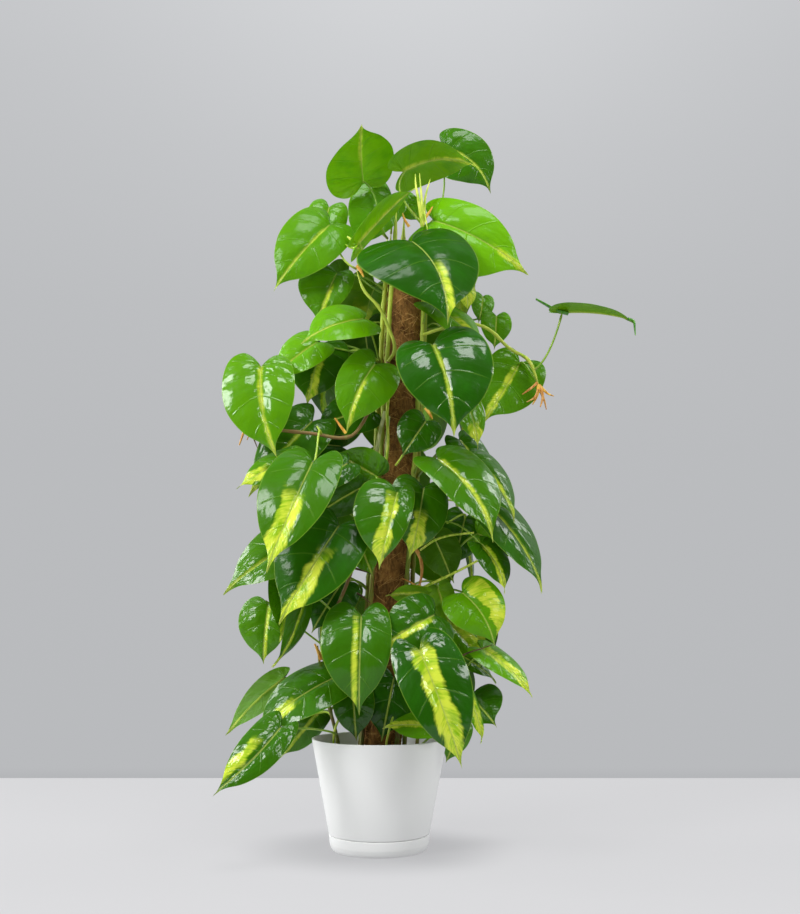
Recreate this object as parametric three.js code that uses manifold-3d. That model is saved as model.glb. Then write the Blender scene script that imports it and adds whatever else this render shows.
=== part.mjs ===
// A potted brasil philodendron: leafy vines that climb a coir pole in a white pot.
// Millimetres, +Z up. The origin is the middle of the saucer's flat underside.
// The front is -Y, and +X is to the right as seen from the front.
import * as THREE from 'three';
import { mergeVertices } from 'three/addons/utils/BufferGeometryUtils.js';
import Module from 'manifold-3d';

const wasm = await Module();
wasm.setup();

// Driving dimensions of the pot, the saucer and the soil
const potHeight = 120;
const rimRadius = 76;
const footRadius = 56;
const wall = 2.6;
const lipHeight = 4;
const seam = 0.3;
const saucerHeight = 17;
const saucerFoot = 52;
const floorHeight = 9;
const soilTop = 106;
const drainCount = 5;
const drainRadius = 4;
const drainCircle = 30;
const potSegments = 36;
const soilSegments = 22;
const poleSegments = 20;
const stakeSegments = 12;
const holeGap = 1.4;
const holeSides = 6;

// The climbing pole leans a little to the right as it rises
const poleRadius = 22;
const poleLean = 0.052;
const poleUpright = 60;
const poleTop = 684;
const poleFoot = 72;
const stakeRadius = 10;
const stakeTop = 690;
const stakeFoot = 40;

// Stems, leaf stalks and blades
const stemRadius = 2.8;
const shootRadius = 2.1;
const stalkRadius = 1.5;
const bladeThickness = 0.9;
const stemSides = 5;
const stalkSides = 3;
const stalkSteps = 4;
const stemFoot = 28;
const vineStep = 44;
const slideStep = 3;
const mostSlides = 40;
const fewSlides = 3;
const attempts = 8;
const stalkPlace = 0.03;
const stalkEnd = 0.35;
const bladeGap = 4;
const stalkGap = 3.1;
const stemGap = 1.6;

// The places of leaves and shoots are given as [x, z] in the upright plane through the
// pot's middle, as they are seen from this point in front, with their depth beside them
const viewpoint = [23, -1300, 257];
const turnCentre = [25, 0, 0];

// Half a heart-shaped blade, from the notch at the stalk round the lobe to the tip.
// Each row is how far along the midrib, how far out, and where its vein leaves the midrib
const halfBlade = [
  [-0.11, 0.12, 0],
  [-0.15, 0.27, 0],
  [-0.05, 0.43, 0],
  [0.17, 0.50, 0.06],
  [0.44, 0.47, 0.26],
  [0.68, 0.31, 0.50],
  [0.87, 0.10, 0.76],
];

// Vines on the pole: name, bearing round the pole at the soil (0 is the front, 90 the
// right), and how high the stem goes. All wind by the same twist, so they never meet
const vineTwist = 24;
const vines = [
  ['V1', -62, 726],
  ['V2', -104, 700],
  ['V3', -146, 712],
  ['V4', 172, 735],
  ['V5', 130, 716],
  ['V6', 88, 722],
  ['V7', 40, 706],
];

// Side shoots and low shoots: name, the vine they are part of, the height where they leave
// it, and their route as [x, z, depth]. A low shoot stands in the soil by itself
const shoots = [
  ['S1', 'V1', 545, [[17, 566, -36], [8, 596, -43], [-2, 617, -46], [-20, 638, -45], [-29, 664, -42]]],
  ['S2', 'V7', 580, [[76, 592, -34], [108, 597, -42], [128, 590, -40], [152, 567, -36], [173, 554, -34],
    [181, 538, -34], [187, 516, -33]]],
  ['S3', 'V1', 548, [[14, 533, -42], [-10, 497, -54], [-35, 462, -60], [-80, 466, -64], [-129, 472, -58],
    [-152, 482, -50]]],
  ['S4', 'V1', 345, [[-22, 330, -42], [-40, 286, -54], [-52, 258, -52], [-62, 232, -46]]],
  ['L1', 'L1', null, [[-46, 78, -28], [-46, 112, -28], [-56, 150, -34], [-66, 190, -40], [-70, 222, -40]]],
  ['L2', 'L2', null, [[42, 78, -38], [42, 112, -38], [46, 150, -44], [54, 190, -48]]],
];

// Leaves that show from the front, drawn one by one: name, the stem it grows on, where
// the stalk meets the blade, the tip, the depth of both, the width of the left and right
// half to the length, roll about the midrib, lift of the halves, sideways bend and arch
const frontLeaves = [
  ['A1', 'V2', [-21, 771], [-24, 846], [-8, -72], [0.60, 0.56], 208, 0, 0, 0.04],
  ['A2', 'V7', [27, 785], [114, 794], [-6, -30], [0.42, 0.42], -132, 0, 0, 0.15],
  ['A3', 'V6', [78, 815], [132, 758], [16, 14], [0.44, 0.38], -15, 0, 0.12, 0.06],
  ['A4', 'V6', [64, 723], [176, 657], [-18, -34], [0.46, 0.36], -20, 0, 0.03, 0.08],
  ['A5', 'V7', [37, 697], [80, 598], [-60, -108], [0.58, 0.46], -28, 0, 0.06, 0.10],
  ['A6', 'S1', [-61, 718], [-127, 638], [-34, -52], [0.38, 0.34], 22, 0, 0, 0.08],
  ['A7', 'V2', [-62, 740], [-80, 668], [4, -10], [0.30, 0.32], 8, 0, 0, 0.06],
  ['A8', 'V3', [13, 753], [-34, 688], [14, -2], [0.46, 0.28], 8, 0, 0, 0.06],
  ['A9', 'V1', [-27, 694], [42, 767], [-40, -26], [0.32, 0.32], -112, 4, 0, 0.02],
  ['A10', 'V4', [26, 750], [48, 722], [24, 22], [0.40, 0.40], 0, 0, 0, 0.05],
  ['B1', 'V2', [-52, 658], [-75, 596], [-20, -34], [0.56, 0.34], 16, 0, 0, 0.08],
  ['B2', 'V2', [-20, 602], [-94, 574], [-38, -64], [0.42, 0.40], 48, 0, 0, 0.08],
  ['B3', 'S3', [-140, 545], [-120, 438], [-62, -80], [0.39, 0.36], 4, 4, -0.06, 0.06],
  ['B4', 'V2', [-69, 572], [-86, 499], [-14, -22], [0.46, 0.46], 8, 0, 0, 0.06],
  ['B5', 'V1', [-6, 548], [-39, 467], [-50, -66], [0.34, 0.42], 6, 0, -0.06, 0.08],
  ['B6', 'V7', [62, 571], [86, 462], [-70, -96], [0.43, 0.50], -8, 3, 0.04, 0.08],
  ['B7', 'S2', [164, 549], [121, 480], [-12, -26], [0.44, 0.42], 192, 0, 0, 0.04],
  ['B8', 'V6', [137, 606], [134, 566], [4, -2], [0.44, 0.44], -6, 3, 0, 0.05],
  ['B12', 'V6', [121, 630], [116, 598], [12, 8], [0.44, 0.44], -20, 3, 0, 0.05],
  ['B9', 'V6', [98, 652], [103, 611], [-34, -36], [0.36, 0.36], -40, 0, 0, 0.05],
  ['B10', 'V7', [61, 620], [124, 560], [-38, -58], [0.32, 0.32], -58, 0, 0, 0.06],
  ['B11', 'V2', [-74, 574], [-126, 530], [-34, -46], [0.42, 0.42], 40, 0, 0, 0.06],
  ['C0', 'S2', [212, 610], [301, 600], [-36, -44], [0.38, 0.38], -98, 12, 0, 0.05],
  ['C1', 'V7', [53, 480], [25, 438], [-42, -52], [0.50, 0.46], 6, 0, 0, 0.06],
  ['C2', 'V7', [96, 516], [115, 447], [-38, -44], [0.30, 0.28], -36, 0, 0, 0.05],
  ['D1', 'S3', [-78, 432], [-131, 305], [-74, -112], [0.33, 0.28], 24, 3, 0.03, 0.09],
  ['D2', 'V2', [-98, 438], [-167, 402], [-50, -66], [0.26, 0.26], 36, 0, 0, 0.04],
  ['D3', 'S3', [-79, 480], [-153, 392], [-24, -36], [0.30, 0.30], 22, 0, 0, 0.06],
  ['D4', 'V2', [-46, 450], [-118, 446], [-18, -34], [0.36, 0.34], 46, 0, 0, 0.06],
  ['D5', 'V1', [-14, 494], [-80, 470], [-14, -24], [0.38, 0.38], 24, 0, 0, 0.06],
  ['D6', 'V1', [-4, 416], [-56, 444], [-24, -34], [0.44, 0.44], 160, 0, 0, 0.04],
  ['D7', 'V2', [-38, 430], [-86, 392], [-38, -52], [0.34, 0.34], 30, 0, 0, 0.06],
  ['D8', 'V1', [-24, 402], [-80, 366], [-42, -52], [0.36, 0.36], 150, 0, 0, 0.04],
  ['E1', 'V1', [20, 397], [-1, 308], [-86, -104], [0.54, 0.40], 4, 2, 0, 0.09],
  ['E2', 'V7', [50, 402], [34, 320], [-62, -78], [0.44, 0.38], -12, 0, 0, 0.08],
  ['E3', 'V7', [67, 435], [132, 341], [-62, -96], [0.30, 0.38], -42, 2, 0.03, 0.09],
  ['E4', 'V6', [92, 458], [130, 392], [-24, -34], [0.28, 0.34], -40, 0, 0, 0.07],
  ['E5', 'V6', [106, 438], [157, 363], [-34, -54], [0.38, 0.33], -52, 0, 0, 0.07],
  ['E6', 'V6', [120, 384], [187, 282], [-28, -58], [0.30, 0.30], -54, 0, 0.03, 0.06],
  ['E7', 'V6', [98, 368], [85, 310], [-12, -16], [0.44, 0.42], 170, 0, 0, 0.05],
  ['E8', 'V6', [112, 350], [157, 322], [-14, -22], [0.44, 0.44], 210, 0, 0, 0.05],
  ['E9', 'V7', [62, 345], [84, 291], [-28, -34], [0.42, 0.42], -18, 0, 0, 0.06],
  ['E10', 'V6', [116, 337], [144, 281], [-40, -52], [0.36, 0.36], -46, 0, 0.04, 0.07],
  ['F1', 'V2', [-78, 347], [-180, 280], [-50, -78], [0.34, 0.32], 36, 0, 0, 0.08],
  ['F2', 'V1', [-47, 358], [-116, 246], [-74, -108], [0.36, 0.34], 24, 0, 0.03, 0.09],
  ['G1', 'V2', [-127, 268], [-132, 201], [-14, -26], [0.48, 0.40], 18, 0, 0, 0.06],
  ['G2', 'V2', [-112, 300], [-112, 226], [-36, -46], [0.32, 0.30], -38, 0, 0, 0.06],
  ['G3', 'S4', [-86, 284], [-120, 196], [-48, -60], [0.26, 0.26], -58, 0, 0, 0.06],
  ['G4', 'L1', [-108, 186], [-172, 121], [-36, -54], [0.26, 0.26], 46, 0, 0, 0.07],
  ['G5', 'L1', [-50, 186], [-144, 121], [-54, -76], [0.32, 0.30], 40, 0, 0, 0.07],
  ['G6', 'L1', [-111, 131], [-187, 57], [-62, -88], [0.33, 0.26], 18, 0, 0.06, 0.08],
  ['G7', 'L1', [-70, 148], [-110, 97], [32, 26], [0.34, 0.34], 150, 0, 0, 0.04],
  ['H1', 'S4', [-21, 255], [-23, 144], [-80, -92], [0.40, 0.32], 4, 4, 0, 0.10],
  ['H2', 'V7', [62, 256], [-3, 217], [-74, -96], [0.44, 0.50], 12, 0, 0, 0.08],
  ['H3', 'V6', [94, 281], [131, 221], [-52, -66], [0.48, 0.48], -18, 0, 0.06, 0.10],
  ['H4', 'L2', [45, 217], [93, 86], [-92, -110], [0.30, 0.36], -10, 3, 0, 0.08],
  ['H5', 'L2', [103, 164], [131, 133], [-24, -66], [0.50, 0.54], -14, 0, 0, 0.06],
  ['H6', 'V5', [116, 218], [174, 166], [-34, -52], [0.30, 0.28], -52, 0, 0, 0.06],
  ['H7', 'V5', [80, 246], [116, 200], [-22, -30], [0.30, 0.30], -30, 0, 0, 0.05],
  ['H8', 'V5', [90, 212], [133, 181], [-8, -18], [0.24, 0.24], -46, 0, 0, 0.04],
  ['H9', 'L2', [100, 168], [116, 114], [-40, -52], [0.22, 0.22], -52, 0, 0, 0.04],
  ['I1', 'L2', [62, 132], [3, 132], [-50, -56], [0.30, 0.30], 36, 0, 0, 0.05],
  ['I2', 'L1', [-30, 172], [-26, 116], [-36, -44], [0.42, 0.42], 4, 0, 0, 0.06],
  ['I3', 'L2', [16, 186], [2, 115], [-28, -38], [0.40, 0.40], 0, 0, 0, 0.06],
  ['I4', 'V5', [92, 134], [74, 92], [66, 62], [0.36, 0.34], 0, 0, 0, 0.04],
  ['J1', 'V7', [52, 279], [6, 279], [-46, -52], [0.32, 0.30], 140, 0, 0, 0.04],
  ['J2', 'V2', [-44, 292], [-78, 236], [-34, -44], [0.42, 0.42], 8, 0, 0, 0.06],
  ['J3', 'V7', [66, 288], [82, 242], [-34, -40], [0.36, 0.34], 160, 0, 0, 0.04],
  ['K1', 'V1', [-24, 340], [-8, 300], [-34, -40], [0.40, 0.40], 0, 0, 0, 0.06],
];

// Leaves on the sides and the back: as many in each row as fill it, by a seeded rule
const rowBottom = 196;
const rowStep = 82;
const rowCount = 7;
const rowTurns = [112, 156, 202, 246];
const rowVines = ['V6', 'V5', 'V4', 'V3'];

const degrees = Math.PI / 180;
const add = (a, b) => [a[0] + b[0], a[1] + b[1], a[2] + b[2]];
const sub = (a, b) => [a[0] - b[0], a[1] - b[1], a[2] - b[2]];
const scale = (a, k) => [a[0] * k, a[1] * k, a[2] * k];
const dot = (a, b) => a[0] * b[0] + a[1] * b[1] + a[2] * b[2];
const cross = (a, b) => [
  a[1] * b[2] - a[2] * b[1],
  a[2] * b[0] - a[0] * b[2],
  a[0] * b[1] - a[1] * b[0],
];
const size = (a) => Math.sqrt(dot(a, a));
const unit = (a) => scale(a, 1 / size(a));
const mix = (a, b, t) => add(scale(a, 1 - t), scale(b, t));

// A number from 0 to 1 that depends only on where it is asked for
function chance(row, column, use) {
  const value = Math.sin(row * 12.9898 + column * 78.233 + use * 37.719) * 43758.5453;
  return value - Math.floor(value);
}

function turned(point, turn) {
  const c = Math.cos(turn * degrees);
  const s = Math.sin(turn * degrees);
  const x = point[0] - turnCentre[0];
  const y = point[1] - turnCentre[1];
  return [turnCentre[0] + x * c - y * s, turnCentre[1] + x * s + y * c, point[2]];
}

// The point at a depth that is seen from the viewpoint at [x, z] of the middle plane
function seen(place, depth, turn) {
  const reach = (depth - viewpoint[1]) / -viewpoint[1];
  const x = viewpoint[0] + (place[0] - viewpoint[0]) * reach;
  const z = viewpoint[2] + (place[1] - viewpoint[2]) * reach;
  return turned([x, depth, z], turn);
}

// A solid from points and triangles, turned right side out
function solidOf(points, faces) {
  let volume = 0;
  for (const [a, b, c] of faces) {
    volume += dot(points[a], cross(points[b], points[c]));
  }
  const index = volume > 0 ? faces.flat() : faces.map(([a, b, c]) => [a, c, b]).flat();
  const mesh = new wasm.Mesh({
    numProp: 3,
    vertProperties: new Float32Array(points.flat()),
    triVerts: new Uint32Array(index),
  });
  return new wasm.Manifold(mesh);
}

function meshOf(solid) {
  const { vertProperties, triVerts } = solid.getMesh();
  const geometry = new THREE.BufferGeometry();
  geometry.setAttribute('position', new THREE.BufferAttribute(new Float32Array(vertProperties), 3));
  geometry.setIndex(new THREE.BufferAttribute(new Uint32Array(triVerts), 1));
  return geometry;
}

function solidFrom(geometry) {
  geometry.deleteAttribute('normal');
  geometry.deleteAttribute('uv');
  const merged = mergeVertices(geometry, 1e-4);
  const mesh = new wasm.Mesh({
    numProp: 3,
    vertProperties: merged.attributes.position.array,
    triVerts: new Uint32Array(merged.index.array),
  });
  return new wasm.Manifold(mesh);
}

// A closed tube through points, its section carried along without twisting
function tube(points, radii, sides) {
  const ring = [];
  const faces = [];
  let normal = null;
  for (let i = 0; i < points.length; i += 1) {
    const before = points[Math.max(i - 1, 0)];
    const after = points[Math.min(i + 1, points.length - 1)];
    const ahead = unit(sub(after, before));
    const start = normal ?? (Math.abs(ahead[2]) < 0.9 ? [0, 0, 1] : [1, 0, 0]);
    normal = unit(sub(start, scale(ahead, dot(start, ahead))));
    const side = cross(ahead, normal);
    for (let k = 0; k < sides; k += 1) {
      const angle = (k / sides) * 2 * Math.PI;
      const out = add(scale(normal, Math.cos(angle)), scale(side, Math.sin(angle)));
      ring.push(add(points[i], scale(out, radii[i])));
    }
  }
  for (let i = 0; i + 1 < points.length; i += 1) {
    for (let k = 0; k < sides; k += 1) {
      const a = i * sides + k;
      const b = i * sides + ((k + 1) % sides);
      faces.push([a, b, b + sides], [a, b + sides, a + sides]);
    }
  }
  const last = (points.length - 1) * sides;
  for (let k = 1; k + 1 < sides; k += 1) {
    faces.push([0, k + 1, k], [last, last + k, last + k + 1]);
  }
  return solidOf(ring, faces);
}

// A smooth curve through points, as evenly spaced points
function smooth(points, count) {
  const curve = new THREE.CatmullRomCurve3(points.map((p) => new THREE.Vector3(...p)), false, 'centripetal');
  return curve.getSpacedPoints(count).map((p) => p.toArray());
}

// Stem routes
function poleCentre(z) {
  return poleLean * (z - poleUpright);
}

function vinePoint(bearing, z) {
  const angle = (bearing + (vineTwist * (z - soilTop)) / 600) * degrees;
  const reach = poleRadius + stemRadius + 0.7;
  return [poleCentre(z) + reach * Math.sin(angle), -reach * Math.cos(angle), z];
}

const stems = {};
for (const [name, bearing, top] of vines) {
  const route = [vinePoint(bearing, soilTop - stemFoot)];
  for (let z = soilTop + 2; z < top - 8; z += vineStep) {
    route.push(vinePoint(bearing, z));
  }
  route.push(vinePoint(bearing, top));
  stems[name] = { vine: name, route, radius: stemRadius };
}
for (const [name, vine, height, places] of shoots) {
  const points = places.map(([x, z, depth]) => seen([x, z], depth, 0));
  if (height !== null) {
    const [, bearing] = vines.find((row) => row[0] === vine);
    points.unshift(vinePoint(bearing, height));
  }
  stems[name] = { vine, route: smooth(points, points.length * 2), radius: shootRadius };
}

// Leaves
function leafFrom(row, turn) {
  const [name, stem, base, tip, deep, halves, roll, lift, bend, arch] = row;
  return { name, stem, base, tip, deep, halves, roll, lift, bend, arch, turn };
}

// A leaf of the sides or the back; each attempt draws another one for the same spot
function hiddenLeaf(row, column, attempt) {
  const draw = (use) => chance(row, column, use + 10 * attempt);
  const turn = rowTurns[column] + 24 * (draw(1) - 0.5) + ((row % 2) - 0.5) * 16;
  const height = rowBottom + rowStep * row + 40 * (draw(2) - 0.5);
  const length = 80 + 26 * draw(3);
  const swing = 60 * (draw(4) - 0.5) * degrees;
  const base = [turnCentre[0] + 40 * (draw(5) - 0.5), height];
  const tip = [base[0] + length * Math.sin(swing), height - length * Math.cos(swing)];
  const front = -(52 + 24 * draw(6));
  const half = 0.4 + 0.08 * draw(7);
  const values = [`R${row}${column}`, rowVines[column], base, tip, [front, front - 6 - 22 * draw(8)],
    [half, half], 40 * (draw(9) - 0.5), 0, 0.06 * (draw(10) - 0.5), 0.08];
  return leafFrom(values, turn);
}

function placed(leaf, slide) {
  const base = seen(leaf.base, leaf.deep[0] - slide, leaf.turn);
  const tip = seen(leaf.tip, leaf.deep[1] - slide, leaf.turn);
  const eye = turned(viewpoint, leaf.turn);
  const along = unit(sub(tip, base));
  const toEye = unit(sub(eye, mix(base, tip, 0.5)));
  const facing = unit(sub(toEye, scale(along, dot(toEye, along))));
  const side = cross(along, facing);
  const face = add(scale(facing, Math.cos(leaf.roll * degrees)), scale(side, Math.sin(leaf.roll * degrees)));
  return { base, along, face, across: cross(face, along), length: size(sub(tip, base)) };
}

// A point of the blade: a along the midrib, w out to the side, both as parts of its length
function bladePoint(leaf, place, a, w) {
  const inside = Math.max(a, 0);
  const heading = Math.atan(4 * leaf.bend * (1 - 2 * inside));
  const rib = 4 * leaf.bend * (inside - inside * inside) + (a - inside) * Math.tan(heading);
  const lift = leaf.lift * degrees;
  const reach = w * Math.cos(lift);
  const ahead = (a - reach * Math.sin(heading)) * place.length;
  const aside = (rib + reach * Math.cos(heading)) * place.length;
  const up = (Math.abs(w) * Math.sin(lift) + leaf.arch * 4 * a * (1 - a)) * place.length;
  const level = add(scale(place.along, ahead), scale(place.across, aside));
  return add(place.base, add(level, scale(place.face, up)));
}

// The blade's middle surface: point 0 is the notch, and the midrib and margins follow
function bladeSheet(leaf, place) {
  const points = [bladePoint(leaf, place, 0, 0)];
  const faces = [];
  const edge = [];
  const ribs = [];
  for (const [, , vein] of halfBlade) {
    if (vein > 0) {
      ribs.push(points.push(bladePoint(leaf, place, vein, 0)) - 1);
    } else {
      ribs.push(0);
    }
  }
  const tip = points.push(bladePoint(leaf, place, 1, 0)) - 1;
  for (const side of [-1, 1]) {
    const spread = side * 2 * leaf.halves[side < 0 ? 0 : 1];
    const margin = halfBlade.map(([a, w]) => points.push(bladePoint(leaf, place, a, w * spread)) - 1);
    const face = (a, b, c) => faces.push(side > 0 ? [a, b, c] : [a, c, b]);
    for (let i = 0; i + 1 < margin.length; i += 1) {
      face(ribs[i], margin[i], margin[i + 1]);
      if (ribs[i] !== ribs[i + 1]) {
        face(ribs[i], margin[i + 1], ribs[i + 1]);
      }
    }
    face(ribs[margin.length - 1], margin[margin.length - 1], tip);
    const round = [0, ...margin, tip];
    edge.push(side > 0 ? round : round.reverse());
  }
  return { points, faces, edge };
}

function bladeSolid(sheet, face) {
  const half = scale(face, bladeThickness / 2);
  const count = sheet.points.length;
  const points = [...sheet.points.map((p) => add(p, half)), ...sheet.points.map((p) => sub(p, half))];
  const faces = [...sheet.faces, ...sheet.faces.map(([a, b, c]) => [a + count, c + count, b + count])];
  for (const round of sheet.edge) {
    for (let i = 0; i + 1 < round.length; i += 1) {
      const [a, b] = [round[i], round[i + 1]];
      faces.push([b, a, a + count], [b, a + count, b + count]);
    }
  }
  return solidOf(points, faces);
}

// Clearances between thin sheets and stalks
function pointToFace(p, a, b, c) {
  const ab = sub(b, a);
  const ac = sub(c, a);
  const ap = sub(p, a);
  const d1 = dot(ab, ap);
  const d2 = dot(ac, ap);
  if (d1 <= 0 && d2 <= 0) return size(ap);
  const bp = sub(p, b);
  const d3 = dot(ab, bp);
  const d4 = dot(ac, bp);
  if (d3 >= 0 && d4 <= d3) return size(bp);
  const vc = d1 * d4 - d3 * d2;
  if (vc <= 0 && d1 >= 0 && d3 <= 0) return size(sub(ap, scale(ab, d1 / (d1 - d3))));
  const cp = sub(p, c);
  const d5 = dot(ab, cp);
  const d6 = dot(ac, cp);
  if (d6 >= 0 && d5 <= d6) return size(cp);
  const vb = d5 * d2 - d1 * d6;
  if (vb <= 0 && d2 >= 0 && d6 <= 0) return size(sub(ap, scale(ac, d2 / (d2 - d6))));
  const va = d3 * d6 - d5 * d4;
  if (va <= 0 && d4 - d3 >= 0 && d5 - d6 >= 0) {
    return size(sub(bp, scale(sub(c, b), (d4 - d3) / (d4 - d3 + d5 - d6))));
  }
  const normal = unit(cross(ab, ac));
  return Math.abs(dot(ap, normal));
}

function crosses(p, q, a, b, c) {
  const normal = cross(sub(b, a), sub(c, a));
  const from = dot(sub(p, a), normal);
  const to = dot(sub(q, a), normal);
  if (from * to > 0 || from === to) return false;
  const hit = mix(p, q, from / (from - to));
  const inside = (u, v) => dot(cross(sub(v, u), sub(hit, u)), normal) >= 0;
  return inside(a, b) && inside(b, c) && inside(c, a);
}

function detail(sheet) {
  const points = sheet.points;
  const pairs = sheet.faces.flatMap(([a, b, c]) => [[a, b], [b, c], [c, a]]);
  const lines = pairs.map((pair) => pair.map((i) => points[i]));
  const marks = [...points];
  for (const [a, b, c] of sheet.faces) {
    const centre = scale(add(add(points[a], points[b]), points[c]), 1 / 3);
    marks.push(centre);
    for (const corner of [a, b, c]) {
      marks.push(mix(points[corner], centre, 0.5));
    }
  }
  for (const [p, q] of lines) {
    marks.push(mix(p, q, 0.25), mix(p, q, 0.5), mix(p, q, 0.75));
  }
  const middle = scale(points.reduce(add, [0, 0, 0]), 1 / points.length);
  const reach = Math.max(...points.map((p) => size(sub(p, middle))));
  const triangles = sheet.faces.map((face) => face.map((i) => points[i]));
  return { lines, marks, triangles, middle, reach };
}

function near(one, other, gap) {
  return size(sub(one.middle, other.middle)) < one.reach + other.reach + gap;
}

function tooClose(one, other, gap) {
  if (!near(one, other, gap)) return false;
  const marksNear = (from, to) => from.marks.some((p) => size(sub(p, to.middle)) < to.reach + gap
    && to.triangles.some(([a, b, c]) => pointToFace(p, a, b, c) < gap));
  const linesCross = (from, to) => from.lines.some(([p, q]) => (
    to.triangles.some(([a, b, c]) => crosses(p, q, a, b, c))));
  return linesCross(one, other) || linesCross(other, one) || marksNear(one, other) || marksNear(other, one);
}

const gapSteps = 10;

function lineGap(p, q, r, s) {
  let least = Infinity;
  for (let i = 0; i <= gapSteps; i += 1) {
    const point = mix(p, q, i / gapSteps);
    const rs = sub(s, r);
    const t = Math.min(1, Math.max(0, dot(sub(point, r), rs) / dot(rs, rs)));
    least = Math.min(least, size(sub(point, mix(r, s, t))));
  }
  return least;
}

function routeMiddle(route) {
  const middle = scale(route.reduce(add, [0, 0, 0]), 1 / route.length);
  return { middle, reach: Math.max(...route.map((p) => size(sub(p, middle)))) };
}

function clearOfPot({ marks }) {
  return marks.every(([x, y, z]) => {
    const away = Math.hypot(x, y);
    const inside = away < rimRadius - wall - bladeGap && z > soilTop + bladeGap;
    return z > potHeight + bladeGap || away > rimRadius + bladeGap || inside;
  });
}

function clearOfPole({ marks }) {
  return marks.every(([x, y, z]) => (
    z > poleTop + bladeGap || Math.hypot(x - poleCentre(z), y) > poleRadius + bladeGap));
}

const stemMarks = Object.values(stems).flatMap(({ route, radius }) => route.slice(1).flatMap((p, i) => (
  [0, 0.2, 0.4, 0.6, 0.8].map((t) => ({ place: mix(p, route[i], t), gap: radius + stemGap })))));

function clearOfStems({ triangles, middle, reach }) {
  return stemMarks.every(({ place, gap }) => size(sub(place, middle)) > reach + gap
    || triangles.every(([a, b, c]) => pointToFace(place, a, b, c) > gap));
}

// A leaf slides forward along the lines of sight until it is clear of those behind it
function settle(leaf, done) {
  for (let step = 0; step <= mostSlides; step += 1) {
    leaf.place = placed(leaf, step * slideStep);
    leaf.slides = step;
    leaf.sheet = bladeSheet(leaf, leaf.place);
    leaf.detail = detail(leaf.sheet);
    const clear = clearOfPot(leaf.detail) && clearOfPole(leaf.detail) && clearOfStems(leaf.detail);
    if (clear && !done.some((other) => tooClose(leaf.detail, other.detail, bladeGap))) return leaf;
  }
  return leaf;
}

function settleAll() {
  const done = [];
  const depth = (leaf) => leaf.deep[0] + leaf.deep[1];
  const front = frontLeaves.map((row) => leafFrom(row, 0)).sort((a, b) => depth(b) - depth(a));
  for (const leaf of front) {
    done.push(settle(leaf, done));
  }
  for (let row = 0; row < rowCount; row += 1) {
    for (let column = 0; column < rowTurns.length; column += 1) {
      let best = null;
      for (let attempt = 0; attempt < attempts; attempt += 1) {
        const leaf = settle(hiddenLeaf(row, column, attempt), done);
        if (best === null || leaf.slides < best.slides) best = leaf;
        if (best.slides <= fewSlides) break;
      }
      done.push(best);
    }
  }
  return done;
}

// How far below the blade a stalk starts, how it leaves the stem and how it meets the blade
const nodeDrops = [24, 40, 12, 56, 75, 0, 95, -15];
const departures = [[0.35, 0], [0.1, 0.3], [0.1, -0.3], [0.6, 0], [-0.2, 0]];
const arrivals = [[0.5, 0.8, 0], [0.9, 0.3, 0], [0.2, 1, 0.5], [0.2, 1, -0.5], [0.8, 0.5, 0.8], [0.8, 0.5, -0.8]];

// Stalk routes from the stem to the blade, in order of how natural they look
function stalkChoices(leaf) {
  const { base, along, face, across } = leaf.place;
  const route = stems[leaf.stem].route;
  const foot = bladePoint(leaf, leaf.place, stalkPlace, 0);
  const choices = [];
  for (const drop of nodeDrops) {
    let node = null;
    let best = Infinity;
    route.forEach((p, i) => {
      if (i === 0 || p[2] < soilTop + 4) return;
      const miss = Math.abs(p[2] - (base[2] - drop)) * 2 + Math.hypot(p[0] - base[0], p[1] - base[1]);
      if (miss < best) {
        best = miss;
        node = p;
      }
    });
    const span = size(sub(foot, node));
    const out = unit([base[0] - node[0], base[1] - node[1], 0.01]);
    const aside = [-out[1], out[0], 0];
    for (const [back, under, sway] of arrivals) {
      const arrive = unit(add(add(scale(along, -back), scale(face, -under)), scale(across, sway)));
      for (const [rise, lean] of departures) {
        const leave = add(add(scale(out, 0.35), scale(aside, lean)), [0, 0, rise]);
        const second = add(node, scale(leave, span));
        const third = add(foot, scale(arrive, 0.4 * span));
        const points = [];
        for (let i = 0; i <= stalkSteps; i += 1) {
          const t = i / stalkSteps;
          points.push(mix(mix(mix(node, second, t), mix(second, third, t), t),
            mix(mix(second, third, t), mix(third, foot, t), t), t));
        }
        choices.push(points);
      }
    }
  }
  return choices;
}

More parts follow.
